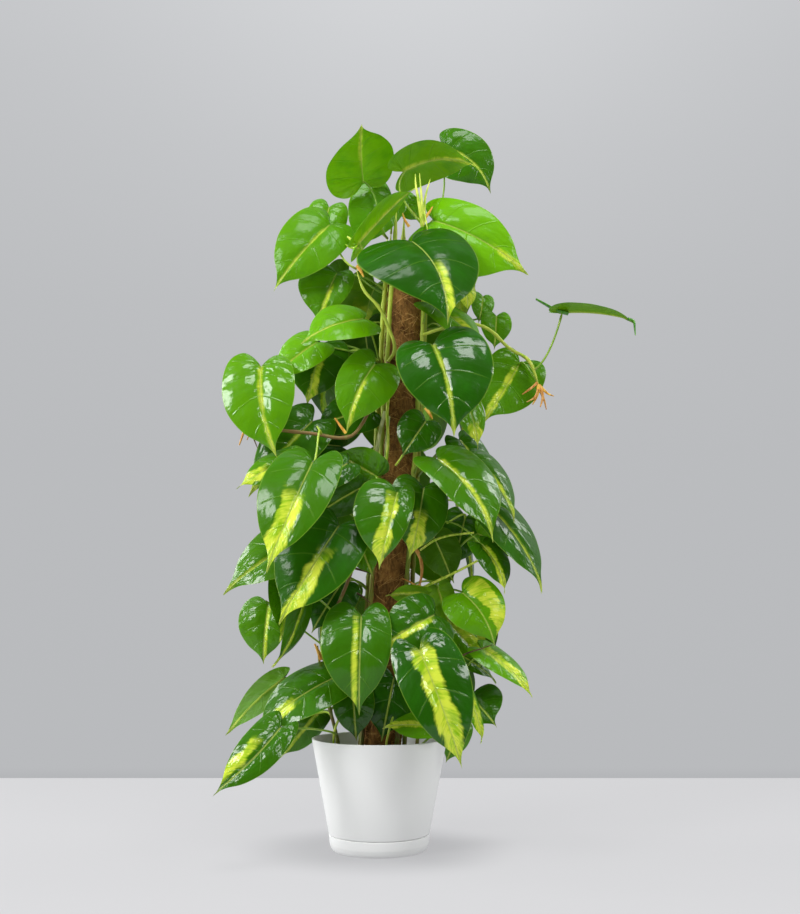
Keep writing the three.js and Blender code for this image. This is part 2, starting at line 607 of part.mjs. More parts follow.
function routeStalks(leaves) {
  const done = [];
  const order = [...leaves].sort((a, b) => size(sub(a.place.base, stems[a.stem].route[1]))
    - size(sub(b.place.base, stems[b.stem].route[1])));
  for (const leaf of order) {
    const vine = stems[leaf.stem].vine;
    let kept = null;
    let fewest = Infinity;
    for (const points of stalkChoices(leaf)) {
      const bounds = routeMiddle(points);
      const hits = new Set();
      for (const other of leaves) {
        if (other === leaf || !near(bounds, other.detail, stalkGap)) continue;
        for (let i = 1; i < points.length; i += 1) {
          const [p, q] = [points[i - 1], points[i]];
          const marks = [0.2, 0.4, 0.6, 0.8, 1].map((t) => mix(p, q, t));
          if (other.detail.triangles.some(([a, b, c]) => crosses(p, q, a, b, c)
            || marks.some((m) => pointToFace(m, a, b, c) < stalkGap))) hits.add(other.name);
        }
      }
      for (const other of done) {
        if (!near(bounds, other.bounds, 4)) continue;
        const own = other.vine === vine;
        for (let i = own ? 3 : 1; i < points.length; i += 1) {
          for (let j = own ? 3 : 1; j < other.points.length; j += 1) {
            const gap = lineGap(points[i - 1], points[i], other.points[j - 1], other.points[j]);
            if (gap < 2 * stalkRadius + 0.6) hits.add(`stalk of ${other.name}`);
          }
        }
      }
      for (const [name, stem] of Object.entries(stems)) {
        if (stem.vine === vine) continue;
        for (let i = 1; i < points.length; i += 1) {
          for (let j = 1; j < stem.route.length; j += 1) {
            const gap = lineGap(points[i - 1], points[i], stem.route[j - 1], stem.route[j]);
            if (gap < stem.radius + stalkRadius + 0.6) hits.add(`stem ${name}`);
          }
        }
      }
      const marks = points.slice(1).flatMap((p, i) => [0, 0.25, 0.5, 0.75].map((t) => mix(p, points[i], t)));
      marks.slice(0, 3).concat(marks.slice(4)).forEach((p) => {
        const away = Math.hypot(p[0] - poleCentre(p[2]), p[1]);
        if (p[2] < poleTop + 8 && away < poleRadius + stalkRadius + 1) hits.add('pole');
        const wide = Math.hypot(p[0], p[1]);
        if (p[2] < potHeight + 3 && wide > rimRadius - wall - 3 && wide < rimRadius + 3) hits.add('pot');
        if (p[2] < soilTop + 3 && wide < rimRadius) hits.add('soil');
      });
      if (hits.size < fewest) {
        fewest = hits.size;
        kept = { points, bounds };
      }
      if (fewest === 0) break;
    }
    leaf.stalk = kept.points;
    done.push({ name: leaf.name, vine, points: kept.points, bounds: kept.bounds });
  }
}

const leaves = settleAll();
routeStalks(leaves);

const plant = new THREE.Group();

function piece(name, solid, colour, roughness) {
  const material = new THREE.MeshStandardMaterial({ color: colour, roughness, metalness: 0 });
  const mesh = new THREE.Mesh(meshOf(solid), material);
  mesh.name = name;
  plant.add(mesh);
}

// Turned pieces
function lathe(profile, segments) {
  const shape = new THREE.LatheGeometry(profile.map(([r, z]) => new THREE.Vector2(r, z)), segments);
  shape.rotateX(90 * degrees);
  return solidFrom(shape);
}

function upright(radius, bottom, top, segments) {
  const shape = new THREE.CylinderGeometry(radius, radius, top - bottom, segments);
  shape.rotateX(90 * degrees);
  shape.translate(0, 0, (top + bottom) / 2);
  return solidFrom(shape);
}

// A round bar along the leaning pole
function leaning(radius, bottom, top, segments) {
  const ends = [bottom, top].map((z) => [poleCentre(z), 0, z]);
  return tube(ends, [radius, radius], segments);
}

function taper(z) {
  return footRadius + ((rimRadius - footRadius) * (z - saucerHeight)) / (potHeight - saucerHeight);
}

function makePot() {
  const bottom = floorHeight + seam;
  const inner = (z) => taper(z) - wall;
  const profile = [
    [0, bottom],
    [footRadius - 4, bottom],
    [footRadius - 4, saucerHeight + seam],
    [footRadius, saucerHeight + seam],
    [taper(potHeight - 1), potHeight - 1],
    [rimRadius - 1, potHeight],
    [rimRadius - wall + 0.4, potHeight],
    [inner(potHeight - lipHeight), potHeight - lipHeight],
    [inner(saucerHeight + 3), saucerHeight + 3],
    [inner(saucerHeight + 3) - 4, bottom + wall],
    [0, bottom + wall],
  ];
  let pot = lathe(profile, potSegments);
  for (let k = 0; k < drainCount; k += 1) {
    const angle = (k / drainCount) * 2 * Math.PI;
    const hole = upright(drainRadius, bottom - 1, bottom + wall + 1, 8)
      .translate([drainCircle * Math.cos(angle), drainCircle * Math.sin(angle), 0]);
    pot = pot.subtract(hole);
  }
  return pot;
}

function makeSaucer() {
  const profile = [
    [0, 0],
    [saucerFoot - 1.5, 0],
    [saucerFoot, 0.8],
    [footRadius - 0.6, saucerHeight * 0.55],
    [footRadius, saucerHeight - 0.8],
    [footRadius - 0.6, saucerHeight],
    [footRadius - 3.4, saucerHeight],
    [footRadius - 3.4, floorHeight],
    [0, floorHeight],
  ];
  return lathe(profile, potSegments);
}

function makeSoil() {
  const low = floorHeight + seam + wall + seam;
  const edge = (z) => taper(z) - wall - seam;
  const profile = [
    [0, low],
    [edge(saucerHeight + 3) - 4.6, low],
    [edge(saucerHeight + 3.6), saucerHeight + 3.6],
    [edge(soilTop - 3), soilTop - 3],
    [edge(soilTop - 3) - 6, soilTop - 1],
    [50, soilTop],
    [0, soilTop],
  ];
  let soil = lathe(profile, soilSegments);
  soil = soil.subtract(leaning(poleRadius + seam, poleFoot - seam, soilTop + 5, poleSegments));
  soil = soil.subtract(leaning(stakeRadius + seam, stakeFoot - seam, poleFoot, stakeSegments));
  for (const { route, radius } of Object.values(stems)) {
    const [foot] = route;
    if (foot[2] > soilTop) continue;
    const above = route.find((p) => p[2] > soilTop);
    const reach = (z) => mix(foot, above, (z - foot[2]) / (above[2] - foot[2]));
    const wide = radius + holeGap;
    soil = soil.subtract(tube([reach(foot[2] - 1), reach(soilTop + 5)], [wide, wide], holeSides));
  }
  return soil;
}

piece('pot', makePot(), 0xf2f3f3, 0.45);
piece('saucer', makeSaucer(), 0xf2f3f3, 0.45);
piece('potting_soil', makeSoil(), 0x2b2119, 0.95);
piece('pole_stake', leaning(stakeRadius, stakeFoot, stakeTop, stakeSegments), 0x6b4a2c, 0.8);
const sleeve = leaning(poleRadius, poleFoot, poleTop, poleSegments)
  .subtract(leaning(stakeRadius + seam, poleFoot - 1, poleTop + 1, stakeSegments));
piece('coir_sleeve', sleeve, 0x7a4d22, 0.95);

const vineNames = [...new Set(Object.values(stems).map((stem) => stem.vine))];
for (const vine of vineNames) {
  const parts = [];
  for (const stem of Object.values(stems)) {
    if (stem.vine === vine) {
      parts.push(tube(stem.route, stem.route.map(() => stem.radius), stemSides));
    }
  }
  for (const leaf of leaves) {
    if (stems[leaf.stem].vine === vine) {
      parts.push(bladeSolid(leaf.sheet, leaf.place.face));
      const radii = leaf.stalk.map((p, i) => (i < stalkSteps ? stalkRadius : stalkEnd));
      parts.push(tube(leaf.stalk, radii, stalkSides));
    }
  }
  const solid = parts.reduce((whole, next) => whole.add(next));
  piece(`vine_${vine.toLowerCase()}`, solid, 0x2f8a14, 0.35);
}

export default plant;
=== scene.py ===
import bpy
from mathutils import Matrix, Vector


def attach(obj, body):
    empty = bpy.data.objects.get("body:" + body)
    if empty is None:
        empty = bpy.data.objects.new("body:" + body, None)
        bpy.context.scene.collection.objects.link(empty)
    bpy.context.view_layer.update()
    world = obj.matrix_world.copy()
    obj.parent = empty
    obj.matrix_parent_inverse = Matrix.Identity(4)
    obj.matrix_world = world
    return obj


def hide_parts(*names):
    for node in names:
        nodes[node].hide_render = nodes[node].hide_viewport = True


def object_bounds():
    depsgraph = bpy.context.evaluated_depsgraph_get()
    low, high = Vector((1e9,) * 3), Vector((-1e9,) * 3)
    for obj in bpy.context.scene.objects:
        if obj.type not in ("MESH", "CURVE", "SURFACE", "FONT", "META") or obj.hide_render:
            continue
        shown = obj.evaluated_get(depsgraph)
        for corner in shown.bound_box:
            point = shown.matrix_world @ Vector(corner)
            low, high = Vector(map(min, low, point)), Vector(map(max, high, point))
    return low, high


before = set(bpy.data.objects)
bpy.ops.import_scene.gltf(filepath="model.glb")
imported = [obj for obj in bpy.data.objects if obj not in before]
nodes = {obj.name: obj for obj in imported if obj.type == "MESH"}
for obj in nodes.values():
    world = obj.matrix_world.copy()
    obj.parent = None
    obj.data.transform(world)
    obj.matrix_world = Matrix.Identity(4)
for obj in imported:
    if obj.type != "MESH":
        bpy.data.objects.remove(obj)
cad_box = [list(corner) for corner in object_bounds()]

# A potted brasil philodendron: leafy vines that climb a coir pole in a white pot.
# Sizes are millimetres in the part's own frame until a mesh is made, in metres.
import math

import bpy
import numpy as np
from mathutils import Vector, kdtree

MM = 0.001
VIEWPOINT = np.array([23.0, -1300.0, 257.0])
TURN_CENTRE = np.array([25.0, 0.0, 0.0])
TILT_UP = 7.93
LENS = 44.51
SENSOR = 36


def placed(name, data):
    """A new object of the scene with this data."""
    obj = bpy.data.objects.new(name, data)
    bpy.context.collection.objects.link(obj)
    return obj


def make_camera():
    data = bpy.data.cameras.new("camera")
    data.sensor_width = SENSOR
    data.lens = LENS
    data.clip_end = 20
    camera = placed("camera", data)
    camera.location = Vector(VIEWPOINT * MM)
    camera.rotation_euler = (math.radians(90 + TILT_UP), 0, 0)
    bpy.context.scene.camera = camera


make_camera()
bpy.context.scene.view_settings.view_transform = "Standard"

# The same plant as the solids: pot, pole, stems and leaves
POT_HEIGHT = 120
RIM_RADIUS = 76
FOOT_RADIUS = 56
WALL = 2.6
SEAM = 0.3
SAUCER_HEIGHT = 17
SAUCER_FOOT = 52
FLOOR_HEIGHT = 9
SOIL_TOP = 106
POLE_RADIUS = 22
POLE_LEAN = 0.052
POLE_UPRIGHT = 60
POLE_TOP = 684
POLE_FOOT = 72
STEM_RADIUS = 2.8
STEM_GAP = 0.7
SHOOT_RADIUS = 2.1
STALK_RADIUS = 1.5
STALK_PLACE = 0.03
BLADE_THICKNESS = 0.9
STEM_FOOT = 28
VINE_STEP = 44
VINE_TWIST = 24
TWIST_HEIGHT = 600
SLIDE_STEP = 3
MOST_SLIDES = 40
ATTEMPTS = 8
TOUCH = 0.06
FIRST_TRIED = [0, 5, -1]
SURE_MATCH = 15

# Half a blade: how far along the midrib, how far out, and where its vein leaves the midrib
HALF_BLADE = [
    [-0.11, 0.12, 0],
    [-0.15, 0.27, 0],
    [-0.05, 0.43, 0],
    [0.17, 0.50, 0.06],
    [0.44, 0.47, 0.26],
    [0.68, 0.31, 0.50],
    [0.87, 0.10, 0.76],
]

# Vines: name, bearing round the pole at the soil, and the height of the top
VINES = [
    ["V1", -62, 726],
    ["V2", -104, 700],
    ["V3", -146, 712],
    ["V4", 172, 735],
    ["V5", 130, 716],
    ["V6", 88, 722],
    ["V7", 40, 706],
]

# Shoots: name, vine, the height where they leave it, and the route as [x, z, depth]
SHOOTS = [
    ["S1", "V1", 545, [[17, 566, -36], [8, 596, -43], [-2, 617, -46], [-20, 638, -45], [-29, 664, -42]]],
    ["S2", "V7", 580, [[76, 592, -34], [108, 597, -42], [128, 590, -40], [152, 567, -36],
                       [173, 554, -34], [181, 538, -34], [187, 516, -33]]],
    ["S3", "V1", 548, [[14, 533, -42], [-10, 497, -54], [-35, 462, -60], [-80, 466, -64],
                       [-129, 472, -58], [-152, 482, -50]]],
    ["S4", "V1", 345, [[-22, 330, -42], [-40, 286, -54], [-52, 258, -52], [-62, 232, -46]]],
    ["L1", "L1", None, [[-46, 78, -28], [-46, 112, -28], [-56, 150, -34], [-66, 190, -40],
                        [-70, 222, -40]]],
    ["L2", "L2", None, [[42, 78, -38], [42, 112, -38], [46, 150, -44], [54, 190, -48]]],
]

# Leaves seen from the front: name, stem, base, tip, depths of both, then the halves' widths in
# percent, the roll, the arch in percent and, where there is one, the lift and the bend in percent
FRONT_LEAVES = [
    ["A1", "V2", [-21, 771], [-24, 846], [-8, -72], [60, 56], 208, 4],
    ["A2", "V7", [27, 785], [114, 794], [-6, -30], [42, 42], -132, 15],
    ["A3", "V6", [78, 815], [132, 758], [16, 14], [44, 38], -15, 6, 0, 12],
    ["A4", "V6", [64, 723], [176, 657], [-18, -34], [46, 36], -20, 8, 0, 3],
    ["A5", "V7", [37, 697], [80, 598], [-60, -108], [58, 46], -28, 10, 0, 6],
    ["A6", "S1", [-61, 718], [-127, 638], [-34, -52], [38, 34], 22, 8],
    ["A7", "V2", [-62, 740], [-80, 668], [4, -10], [30, 32], 8, 6],
    ["A8", "V3", [13, 753], [-34, 688], [14, -2], [46, 28], 8, 6],
    ["A9", "V1", [-27, 694], [42, 767], [-40, -26], [32, 32], -112, 2, 4],
    ["A10", "V4", [26, 750], [48, 722], [24, 22], [40, 40], 0, 5],
    ["B1", "V2", [-52, 658], [-75, 596], [-20, -34], [56, 34], 16, 8],
    ["B2", "V2", [-20, 602], [-94, 574], [-38, -64], [42, 40], 48, 8],
    ["B3", "S3", [-140, 545], [-120, 438], [-62, -80], [39, 36], 4, 6, 4, -6],
    ["B4", "V2", [-69, 572], [-86, 499], [-14, -22], [46, 46], 8, 6],
    ["B5", "V1", [-6, 548], [-39, 467], [-50, -66], [34, 42], 6, 8, 0, -6],
    ["B6", "V7", [62, 571], [86, 462], [-70, -96], [43, 50], -8, 8, 3, 4],
    ["B7", "S2", [164, 549], [121, 480], [-12, -26], [44, 42], 192, 4],
    ["B8", "V6", [137, 606], [134, 566], [4, -2], [44, 44], -6, 5, 3],
    ["B12", "V6", [121, 630], [116, 598], [12, 8], [44, 44], -20, 5, 3],
    ["B9", "V6", [98, 652], [103, 611], [-34, -36], [36, 36], -40, 5],
    ["B10", "V7", [61, 620], [124, 560], [-38, -58], [32, 32], -58, 6],
    ["B11", "V2", [-74, 574], [-126, 530], [-34, -46], [42, 42], 40, 6],
    ["C0", "S2", [212, 610], [301, 600], [-36, -44], [38, 38], -98, 5, 12],
    ["C1", "V7", [53, 480], [25, 438], [-42, -52], [50, 46], 6, 6],
    ["C2", "V7", [96, 516], [115, 447], [-38, -44], [30, 28], -36, 5],
    ["D1", "S3", [-78, 432], [-131, 305], [-74, -112], [33, 28], 24, 9, 3, 3],
    ["D2", "V2", [-98, 438], [-167, 402], [-50, -66], [26, 26], 36, 4],
    ["D3", "S3", [-79, 480], [-153, 392], [-24, -36], [30, 30], 22, 6],
    ["D4", "V2", [-46, 450], [-118, 446], [-18, -34], [36, 34], 46, 6],
    ["D5", "V1", [-14, 494], [-80, 470], [-14, -24], [38, 38], 24, 6],
    ["D6", "V1", [-4, 416], [-56, 444], [-24, -34], [44, 44], 160, 4],
    ["D7", "V2", [-38, 430], [-86, 392], [-38, -52], [34, 34], 30, 6],
    ["D8", "V1", [-24, 402], [-80, 366], [-42, -52], [36, 36], 150, 4],
    ["E1", "V1", [20, 397], [-1, 308], [-86, -104], [54, 40], 4, 9, 2],
    ["E2", "V7", [50, 402], [34, 320], [-62, -78], [44, 38], -12, 8],
    ["E3", "V7", [67, 435], [132, 341], [-62, -96], [30, 38], -42, 9, 2, 3],
    ["E4", "V6", [92, 458], [130, 392], [-24, -34], [28, 34], -40, 7],
    ["E5", "V6", [106, 438], [157, 363], [-34, -54], [38, 33], -52, 7],
    ["E6", "V6", [120, 384], [187, 282], [-28, -58], [30, 30], -54, 6, 0, 3],
    ["E7", "V6", [98, 368], [85, 310], [-12, -16], [44, 42], 170, 5],
    ["E8", "V6", [112, 350], [157, 322], [-14, -22], [44, 44], 210, 5],
    ["E9", "V7", [62, 345], [84, 291], [-28, -34], [42, 42], -18, 6],
    ["E10", "V6", [116, 337], [144, 281], [-40, -52], [36, 36], -46, 7, 0, 4],
    ["F1", "V2", [-78, 347], [-180, 280], [-50, -78], [34, 32], 36, 8],
    ["F2", "V1", [-47, 358], [-116, 246], [-74, -108], [36, 34], 24, 9, 0, 3],
    ["G1", "V2", [-127, 268], [-132, 201], [-14, -26], [48, 40], 18, 6],
    ["G2", "V2", [-112, 300], [-112, 226], [-36, -46], [32, 30], -38, 6],
    ["G3", "S4", [-86, 284], [-120, 196], [-48, -60], [26, 26], -58, 6],
    ["G4", "L1", [-108, 186], [-172, 121], [-36, -54], [26, 26], 46, 7],
    ["G5", "L1", [-50, 186], [-144, 121], [-54, -76], [32, 30], 40, 7],
    ["G6", "L1", [-111, 131], [-187, 57], [-62, -88], [33, 26], 18, 8, 0, 6],
    ["G7", "L1", [-70, 148], [-110, 97], [32, 26], [34, 34], 150, 4],
    ["H1", "S4", [-21, 255], [-23, 144], [-80, -92], [40, 32], 4, 10, 4],
    ["H2", "V7", [62, 256], [-3, 217], [-74, -96], [44, 50], 12, 8],
    ["H3", "V6", [94, 281], [131, 221], [-52, -66], [48, 48], -18, 10, 0, 6],
    ["H4", "L2", [45, 217], [93, 86], [-92, -110], [30, 36], -10, 8, 3],
    ["H5", "L2", [103, 164], [131, 133], [-24, -66], [50, 54], -14, 6],
    ["H6", "V5", [116, 218], [174, 166], [-34, -52], [30, 28], -52, 6],
    ["H7", "V5", [80, 246], [116, 200], [-22, -30], [30, 30], -30, 5],
    ["H8", "V5", [90, 212], [133, 181], [-8, -18], [24, 24], -46, 4],
    ["H9", "L2", [100, 168], [116, 114], [-40, -52], [22, 22], -52, 4],
    ["I1", "L2", [62, 132], [3, 132], [-50, -56], [30, 30], 36, 5],
    ["I2", "L1", [-30, 172], [-26, 116], [-36, -44], [42, 42], 4, 6],
    ["I3", "L2", [16, 186], [2, 115], [-28, -38], [40, 40], 0, 6],
    ["I4", "V5", [92, 134], [74, 92], [66, 62], [36, 34], 0, 4],
    ["J1", "V7", [52, 279], [6, 279], [-46, -52], [32, 30], 140, 4],
    ["J2", "V2", [-44, 292], [-78, 236], [-34, -44], [42, 42], 8, 6],
    ["J3", "V7", [66, 288], [82, 242], [-34, -40], [36, 34], 160, 4],
    ["K1", "V1", [-24, 340], [-8, 300], [-34, -40], [40, 40], 0, 6],
]

ROW_BOTTOM = 196
ROW_STEP = 82
ROW_COUNT = 7
ROW_TURNS = [112, 156, 202, 246]
ROW_VINES = ["V6", "V5", "V4", "V3"]

# How each leaf is marked, in percent: tone from dark to bright, then the lime stripe's centre,
# half width, start and end. The tone is partly the leaf's own green and partly painted light and
# shade: leaves that lie in shade deep in the plant are set darker, lit ones brighter. A row that
# stops early goes on as the plain one does.
PLAIN_LOOK = [50, 0, 1.3, 10, 90]
LOOKS = {
    "A1": [85, 0, 3.5, 30, 110], "A2": [80, 1, 4.5, 0, 120], "A3": [22], "A4": [80, 0, 3, 65, 120],
    "A5": [8, 4, 3.4, 42, 110], "A6": [50, 0, 1.2, 10, 100], "A7": [60, 0, 0.8], "A8": [50, 0, 0.8],
    "A9": [95, 0, 2.8, 0, 110], "A10": [60, 0, 2.8], "B1": [42, 2, 3.3, 30, 100],
    "B2": [68, 0, 1.3, 10, 100], "B11": [70], "B3": [55, 0, 2.2, 0, 110], "B4": [22, 4, 7.2, 30, 110],
    "B5": [50, 2, 2.8, 30, 110], "B6": [8, 0, 1.8, 0, 110], "B7": [45, 2, 5, 10, 110],
    "B8": [50, 0, 1.3, 20], "B9": [90, 0, 80, -30, 120], "B10": [55, 3, 5.6, 40, 120],
    "B12": [50, 0, 1.3, 20], "C0": [60, 0, 1.3, 0], "C1": [14, 0, 0.8, 30, 100],
    "C2": [50, 0, 11.2, 60, 120], "D1": [25, -2, 10, 36, 120], "D2": [40, 0, 9.6, 50, 120],
    "D3": [18, 0, 2.2, 20, 100], "D4": [12, 0, 0.8, 20, 80], "D5": [15, 0, 1.3, 30], "D6": [40, 0, 2.2],
    "D7": [15, 0, 0.8, 20, 80], "D8": [20], "E1": [20, -4, 8.5, 10, 120], "E2": [20, 2, 10, 40, 120],
    "E3": [28, 0, 2.8, 5, 110], "E4": [15], "E5": [20, 2, 2.8, 30, 110], "E6": [15, 0, 1.3, 10, 110],
    "E7": [20], "E8": [60, 20, 11.2, 10, 110], "E9": [20], "E10": [20, 0, 7.2, 10, 100],
    "F1": [35, 0, 1.3, 0, 100], "F2": [10, 4, 7.5, 34, 105], "G1": [40, 3, 3, 10, 100],
    "G2": [50, 5, 11.2, 0, 110], "G3": [30, 0, 2.8, 0, 110], "G4": [20], "G5": [20, 2, 7.2, 50, 110],
    "G6": [20, -10, 6, 30, 120], "G7": [30, 0, 3.3, 0, 110], "H1": [20, -5, 2.8, 5, 100],
    "H2": [16, 3.5, 5, 10, 120], "H3": [60, 25, 15, 0, 110], "H4": [8, 0, 9.5, 0, 120], "H5": [18],
    "H6": [60, 0, 9.6, 10, 110], "H7": [55, 10, 11.2, 0, 110], "H8": [30], "H9": [60, 0, 12, 10, 100],
    "I1": [55, 0, 8, 10, 110], "I2": [15], "I3": [10, 0, 0.8, 10, 80], "I4": [45],
    "J1": [60, 0, 6.4, 10, 110], "J2": [10, 0, 0.8, 10, 80], "J3": [60, 0, 3.3, 10, 110], "K1": [45, 0, 2.2]
}
# Leaves whose underside faces the front
UNDERSIDES = ["B7", "D6", "D8", "E7", "E8", "E9", "G4", "G7"]

# How glossy a leaf is, where the photograph shows it; the rest are drawn at random
GLOSS = {
    "A1": 0.2, "A2": 0.2, "A4": 0.3, "A5": 0.35, "A6": 0.3, "A9": 0.2, "A3": 0.5, "B2": 0.35, "B5": 0.35,
    "B3": 1, "B6": 0.9, "E1": 1, "E3": 0.9, "F1": 0.9, "F2": 0.35, "G6": 1, "H4": 1, "H2": 0.9, "I2": 1,
    "E4": 1, "B9": 0.2, "G2": 0.4, "H3": 0.4
}

# Leaves whose halves are folded a little: how wide the left and the right half look
SLIM = {
    "E1": [0.88, 0.6], "H4": [0.9, 0.86], "F2": [1.12, 1], "G2": [0.9, 0.9], "F1": [0.92, 0.92],
    "A5": [1.12, 1], "A4": [1, 0.78], "G6": [0.8, 0.8]
}


# The solids' own maths, so that the fine leaves lie where theirs do
def unit(v):
    return v / np.linalg.norm(v)


def chance(row, column, use):
    value = math.sin(row * 12.9898 + column * 78.233 + use * 37.719) * 43758.5453
    return value - math.floor(value)


def turned(point, turn):
    c, s = math.cos(math.radians(turn)), math.sin(math.radians(turn))
    x, y, z = point - TURN_CENTRE
    return TURN_CENTRE + np.array([x * c - y * s, x * s + y * c, z])


def seen(place, depth, turn=0):
    """The point at a depth that the camera sees at a place in the plane of the pole."""
    reach = (depth - VIEWPOINT[1]) / -VIEWPOINT[1]
    x = VIEWPOINT[0] + (place[0] - VIEWPOINT[0]) * reach
    z = VIEWPOINT[2] + (place[1] - VIEWPOINT[2]) * reach
    return turned(np.array([x, depth, z]), turn)


def seen_route(places):
    return [seen(place[:2], place[2]) for place in places]


def curve_point(points, t):
    """A point of the centripetal Catmull-Rom curve through points, t from 0 to 1."""
    last = len(points) - 1
    i = min(int(last * t), last - 1)
    weight = last * t - i
    p1, p2 = points[i], points[i + 1]
    p0 = points[i - 1] if i > 0 else 2 * p1 - p2
    p3 = points[i + 2] if i + 2 <= last else 2 * p2 - p1
    d0, d1, d2 = (max(math.sqrt(np.linalg.norm(q - p)), 1e-4) for p, q in ((p0, p1), (p1, p2), (p2, p3)))
    start = ((p1 - p0) / d0 - (p2 - p0) / (d0 + d1) + (p2 - p1) / d1) * d1
    end = ((p2 - p1) / d1 - (p3 - p1) / (d1 + d2) + (p3 - p2) / d2) * d1
    c2 = 3 * (p2 - p1) - 2 * start - end
    c3 = 2 * (p1 - p2) + start + end
    return p1 + weight * (start + weight * (c2 + weight * c3))


def smooth(points, count):
    """count + 1 evenly spaced points of the curve through points."""
    points = [np.asarray(p, float) for p in points]
    marks = np.linspace(0, 1, 201)
    along = np.array([curve_point(points, t) for t in marks])
    lengths = np.concatenate([[0], np.cumsum(np.linalg.norm(np.diff(along, axis=0), axis=1))])
    wanted = np.linspace(0, lengths[-1], count + 1)
    return np.array([curve_point(points, t) for t in np.interp(wanted, lengths, marks)])


def pole_centre(z):
    return POLE_LEAN * (z - POLE_UPRIGHT)


def vine_point(bearing, z):
    angle = math.radians(bearing + VINE_TWIST * (z - SOIL_TOP) / TWIST_HEIGHT)
    reach = POLE_RADIUS + STEM_RADIUS + STEM_GAP
    return np.array([pole_centre(z) + reach * math.sin(angle), -reach * math.cos(angle), z])


def stem_routes():
    """Every stem by its name: the vine that it belongs to, its route and its radius."""
    stems = {}
    bearings = {name: bearing for name, bearing, _ in VINES}
    for name, bearing, top in VINES:
        heights = [SOIL_TOP - STEM_FOOT, *np.arange(SOIL_TOP + 2, top - 8, VINE_STEP), top]
        stems[name] = (name, np.array([vine_point(bearing, z) for z in heights]), STEM_RADIUS)
    for name, vine, height, places in SHOOTS:
        points = seen_route(places)
        if height is not None:
            points.insert(0, vine_point(bearings[vine], height))
        stems[name] = (vine, smooth(points, len(points) * 2), SHOOT_RADIUS)
    return stems


class Leaf:
    """A leaf of the solids: its numbers, then its place in the part's frame."""

    def __init__(self, name, stem, base, tip, deep, halves, roll, arch, lift=0, bend=0, turn=0):
        self.name, self.stem, self.deep, self.halves, self.turn = name, stem, deep, halves, turn
        self.base_mark, self.tip_mark, self.arch, self.bend = base, tip, arch, bend
        self.roll, self.lift = math.radians(roll), math.radians(lift)

    def place(self, slide):
        self.base = seen(self.base_mark, self.deep[0] - slide, self.turn)
        tip = seen(self.tip_mark, self.deep[1] - slide, self.turn)
        self.length = np.linalg.norm(tip - self.base)
        self.along = unit(tip - self.base)
        to_eye = unit(turned(VIEWPOINT, self.turn) - (self.base + tip) / 2)
        facing = unit(to_eye - self.along * (to_eye @ self.along))
        side = np.cross(self.along, facing)
        self.face = facing * math.cos(self.roll) + side * math.sin(self.roll)
        self.across = np.cross(self.face, self.along)
        return self

    def at(self, a, w, rise=0.0):
        """Points of the blade at a along the midrib and w aside, and rise above it."""
        a, w = np.asarray(a, float), np.asarray(w, float)
        inside = np.maximum(a, 0)
        heading = np.arctan(4 * self.bend * (1 - 2 * inside))
        rib = 4 * self.bend * (inside - inside * inside) + (a - inside) * np.tan(heading)
        reach = w * math.cos(self.lift)
        ahead = (a - reach * np.sin(heading)) * self.length
        aside = (rib + reach * np.cos(heading)) * self.length
        up = (np.abs(w) * math.sin(self.lift) + self.arch * 4 * a * (1 - a)) * self.length + rise
        steps = ahead[..., None] * self.along + aside[..., None] * self.across + up[..., None] * self.face
        return self.base + steps

    def corners(self):
        """Corners that the solid blade has when it is placed as it is now."""
        rows = [[1, 0]]
        for side, half in zip((-1, 1), self.halves):
            rows += [[a, w * side * 2 * half] for a, w, _ in HALF_BLADE[2:]]
        rows = np.array(rows)
        middle = self.at(rows[:, 0], rows[:, 1])
        out = self.face * BLADE_THICKNESS / 2
        return np.concatenate([middle + out, middle - out])


def front_leaf(name, stem, base, tip, deep, halves, roll, arch, lift=0, bend=0):
    """A leaf from its row, whose halves, arch and bend are percent."""
    halves = [half / 100 for half in halves]
    return Leaf(name, stem, base, tip, deep, halves, roll, arch / 100, lift, bend / 100)


def hidden_leaf(row, column, attempt):
    """A leaf of the sides or the back, by the rule of the solids."""
    def draw(use):
        return chance(row, column, use + 10 * attempt)

    turn = ROW_TURNS[column] + 24 * (draw(1) - 0.5) + ((row % 2) - 0.5) * 16
    height = ROW_BOTTOM + ROW_STEP * row + 40 * (draw(2) - 0.5)
    length = 80 + 26 * draw(3)
    swing = math.radians(60 * (draw(4) - 0.5))
    base = [TURN_CENTRE[0] + 40 * (draw(5) - 0.5), height]
    tip = [base[0] + length * math.sin(swing), height - length * math.cos(swing)]
    front = -(52 + 24 * draw(6))
    deep = [front, front - 6 - 22 * draw(8)]
    halves = [0.4 + 0.08 * draw(7)] * 2
    return Leaf(f"R{row}{column}", ROW_VINES[column], base, tip, deep, halves,
                roll=40 * (draw(9) - 0.5), arch=0.08, bend=0.06 * (draw(10) - 0.5), turn=turn)


def corner_tree(node):
    """The solid's corners in millimetres, ready to be searched."""
    corners = [node.matrix_world @ v.co / MM for v in node.data.vertices]
    tree = kdtree.KDTree(len(corners))
    for i, corner in enumerate(corners):
        tree.insert(corner, i)
    tree.balance()
    return tree


def hits(tree, points):
    """How many of the points are corners of the solid."""
    return sum(tree.find(p)[2] < TOUCH for p in points)


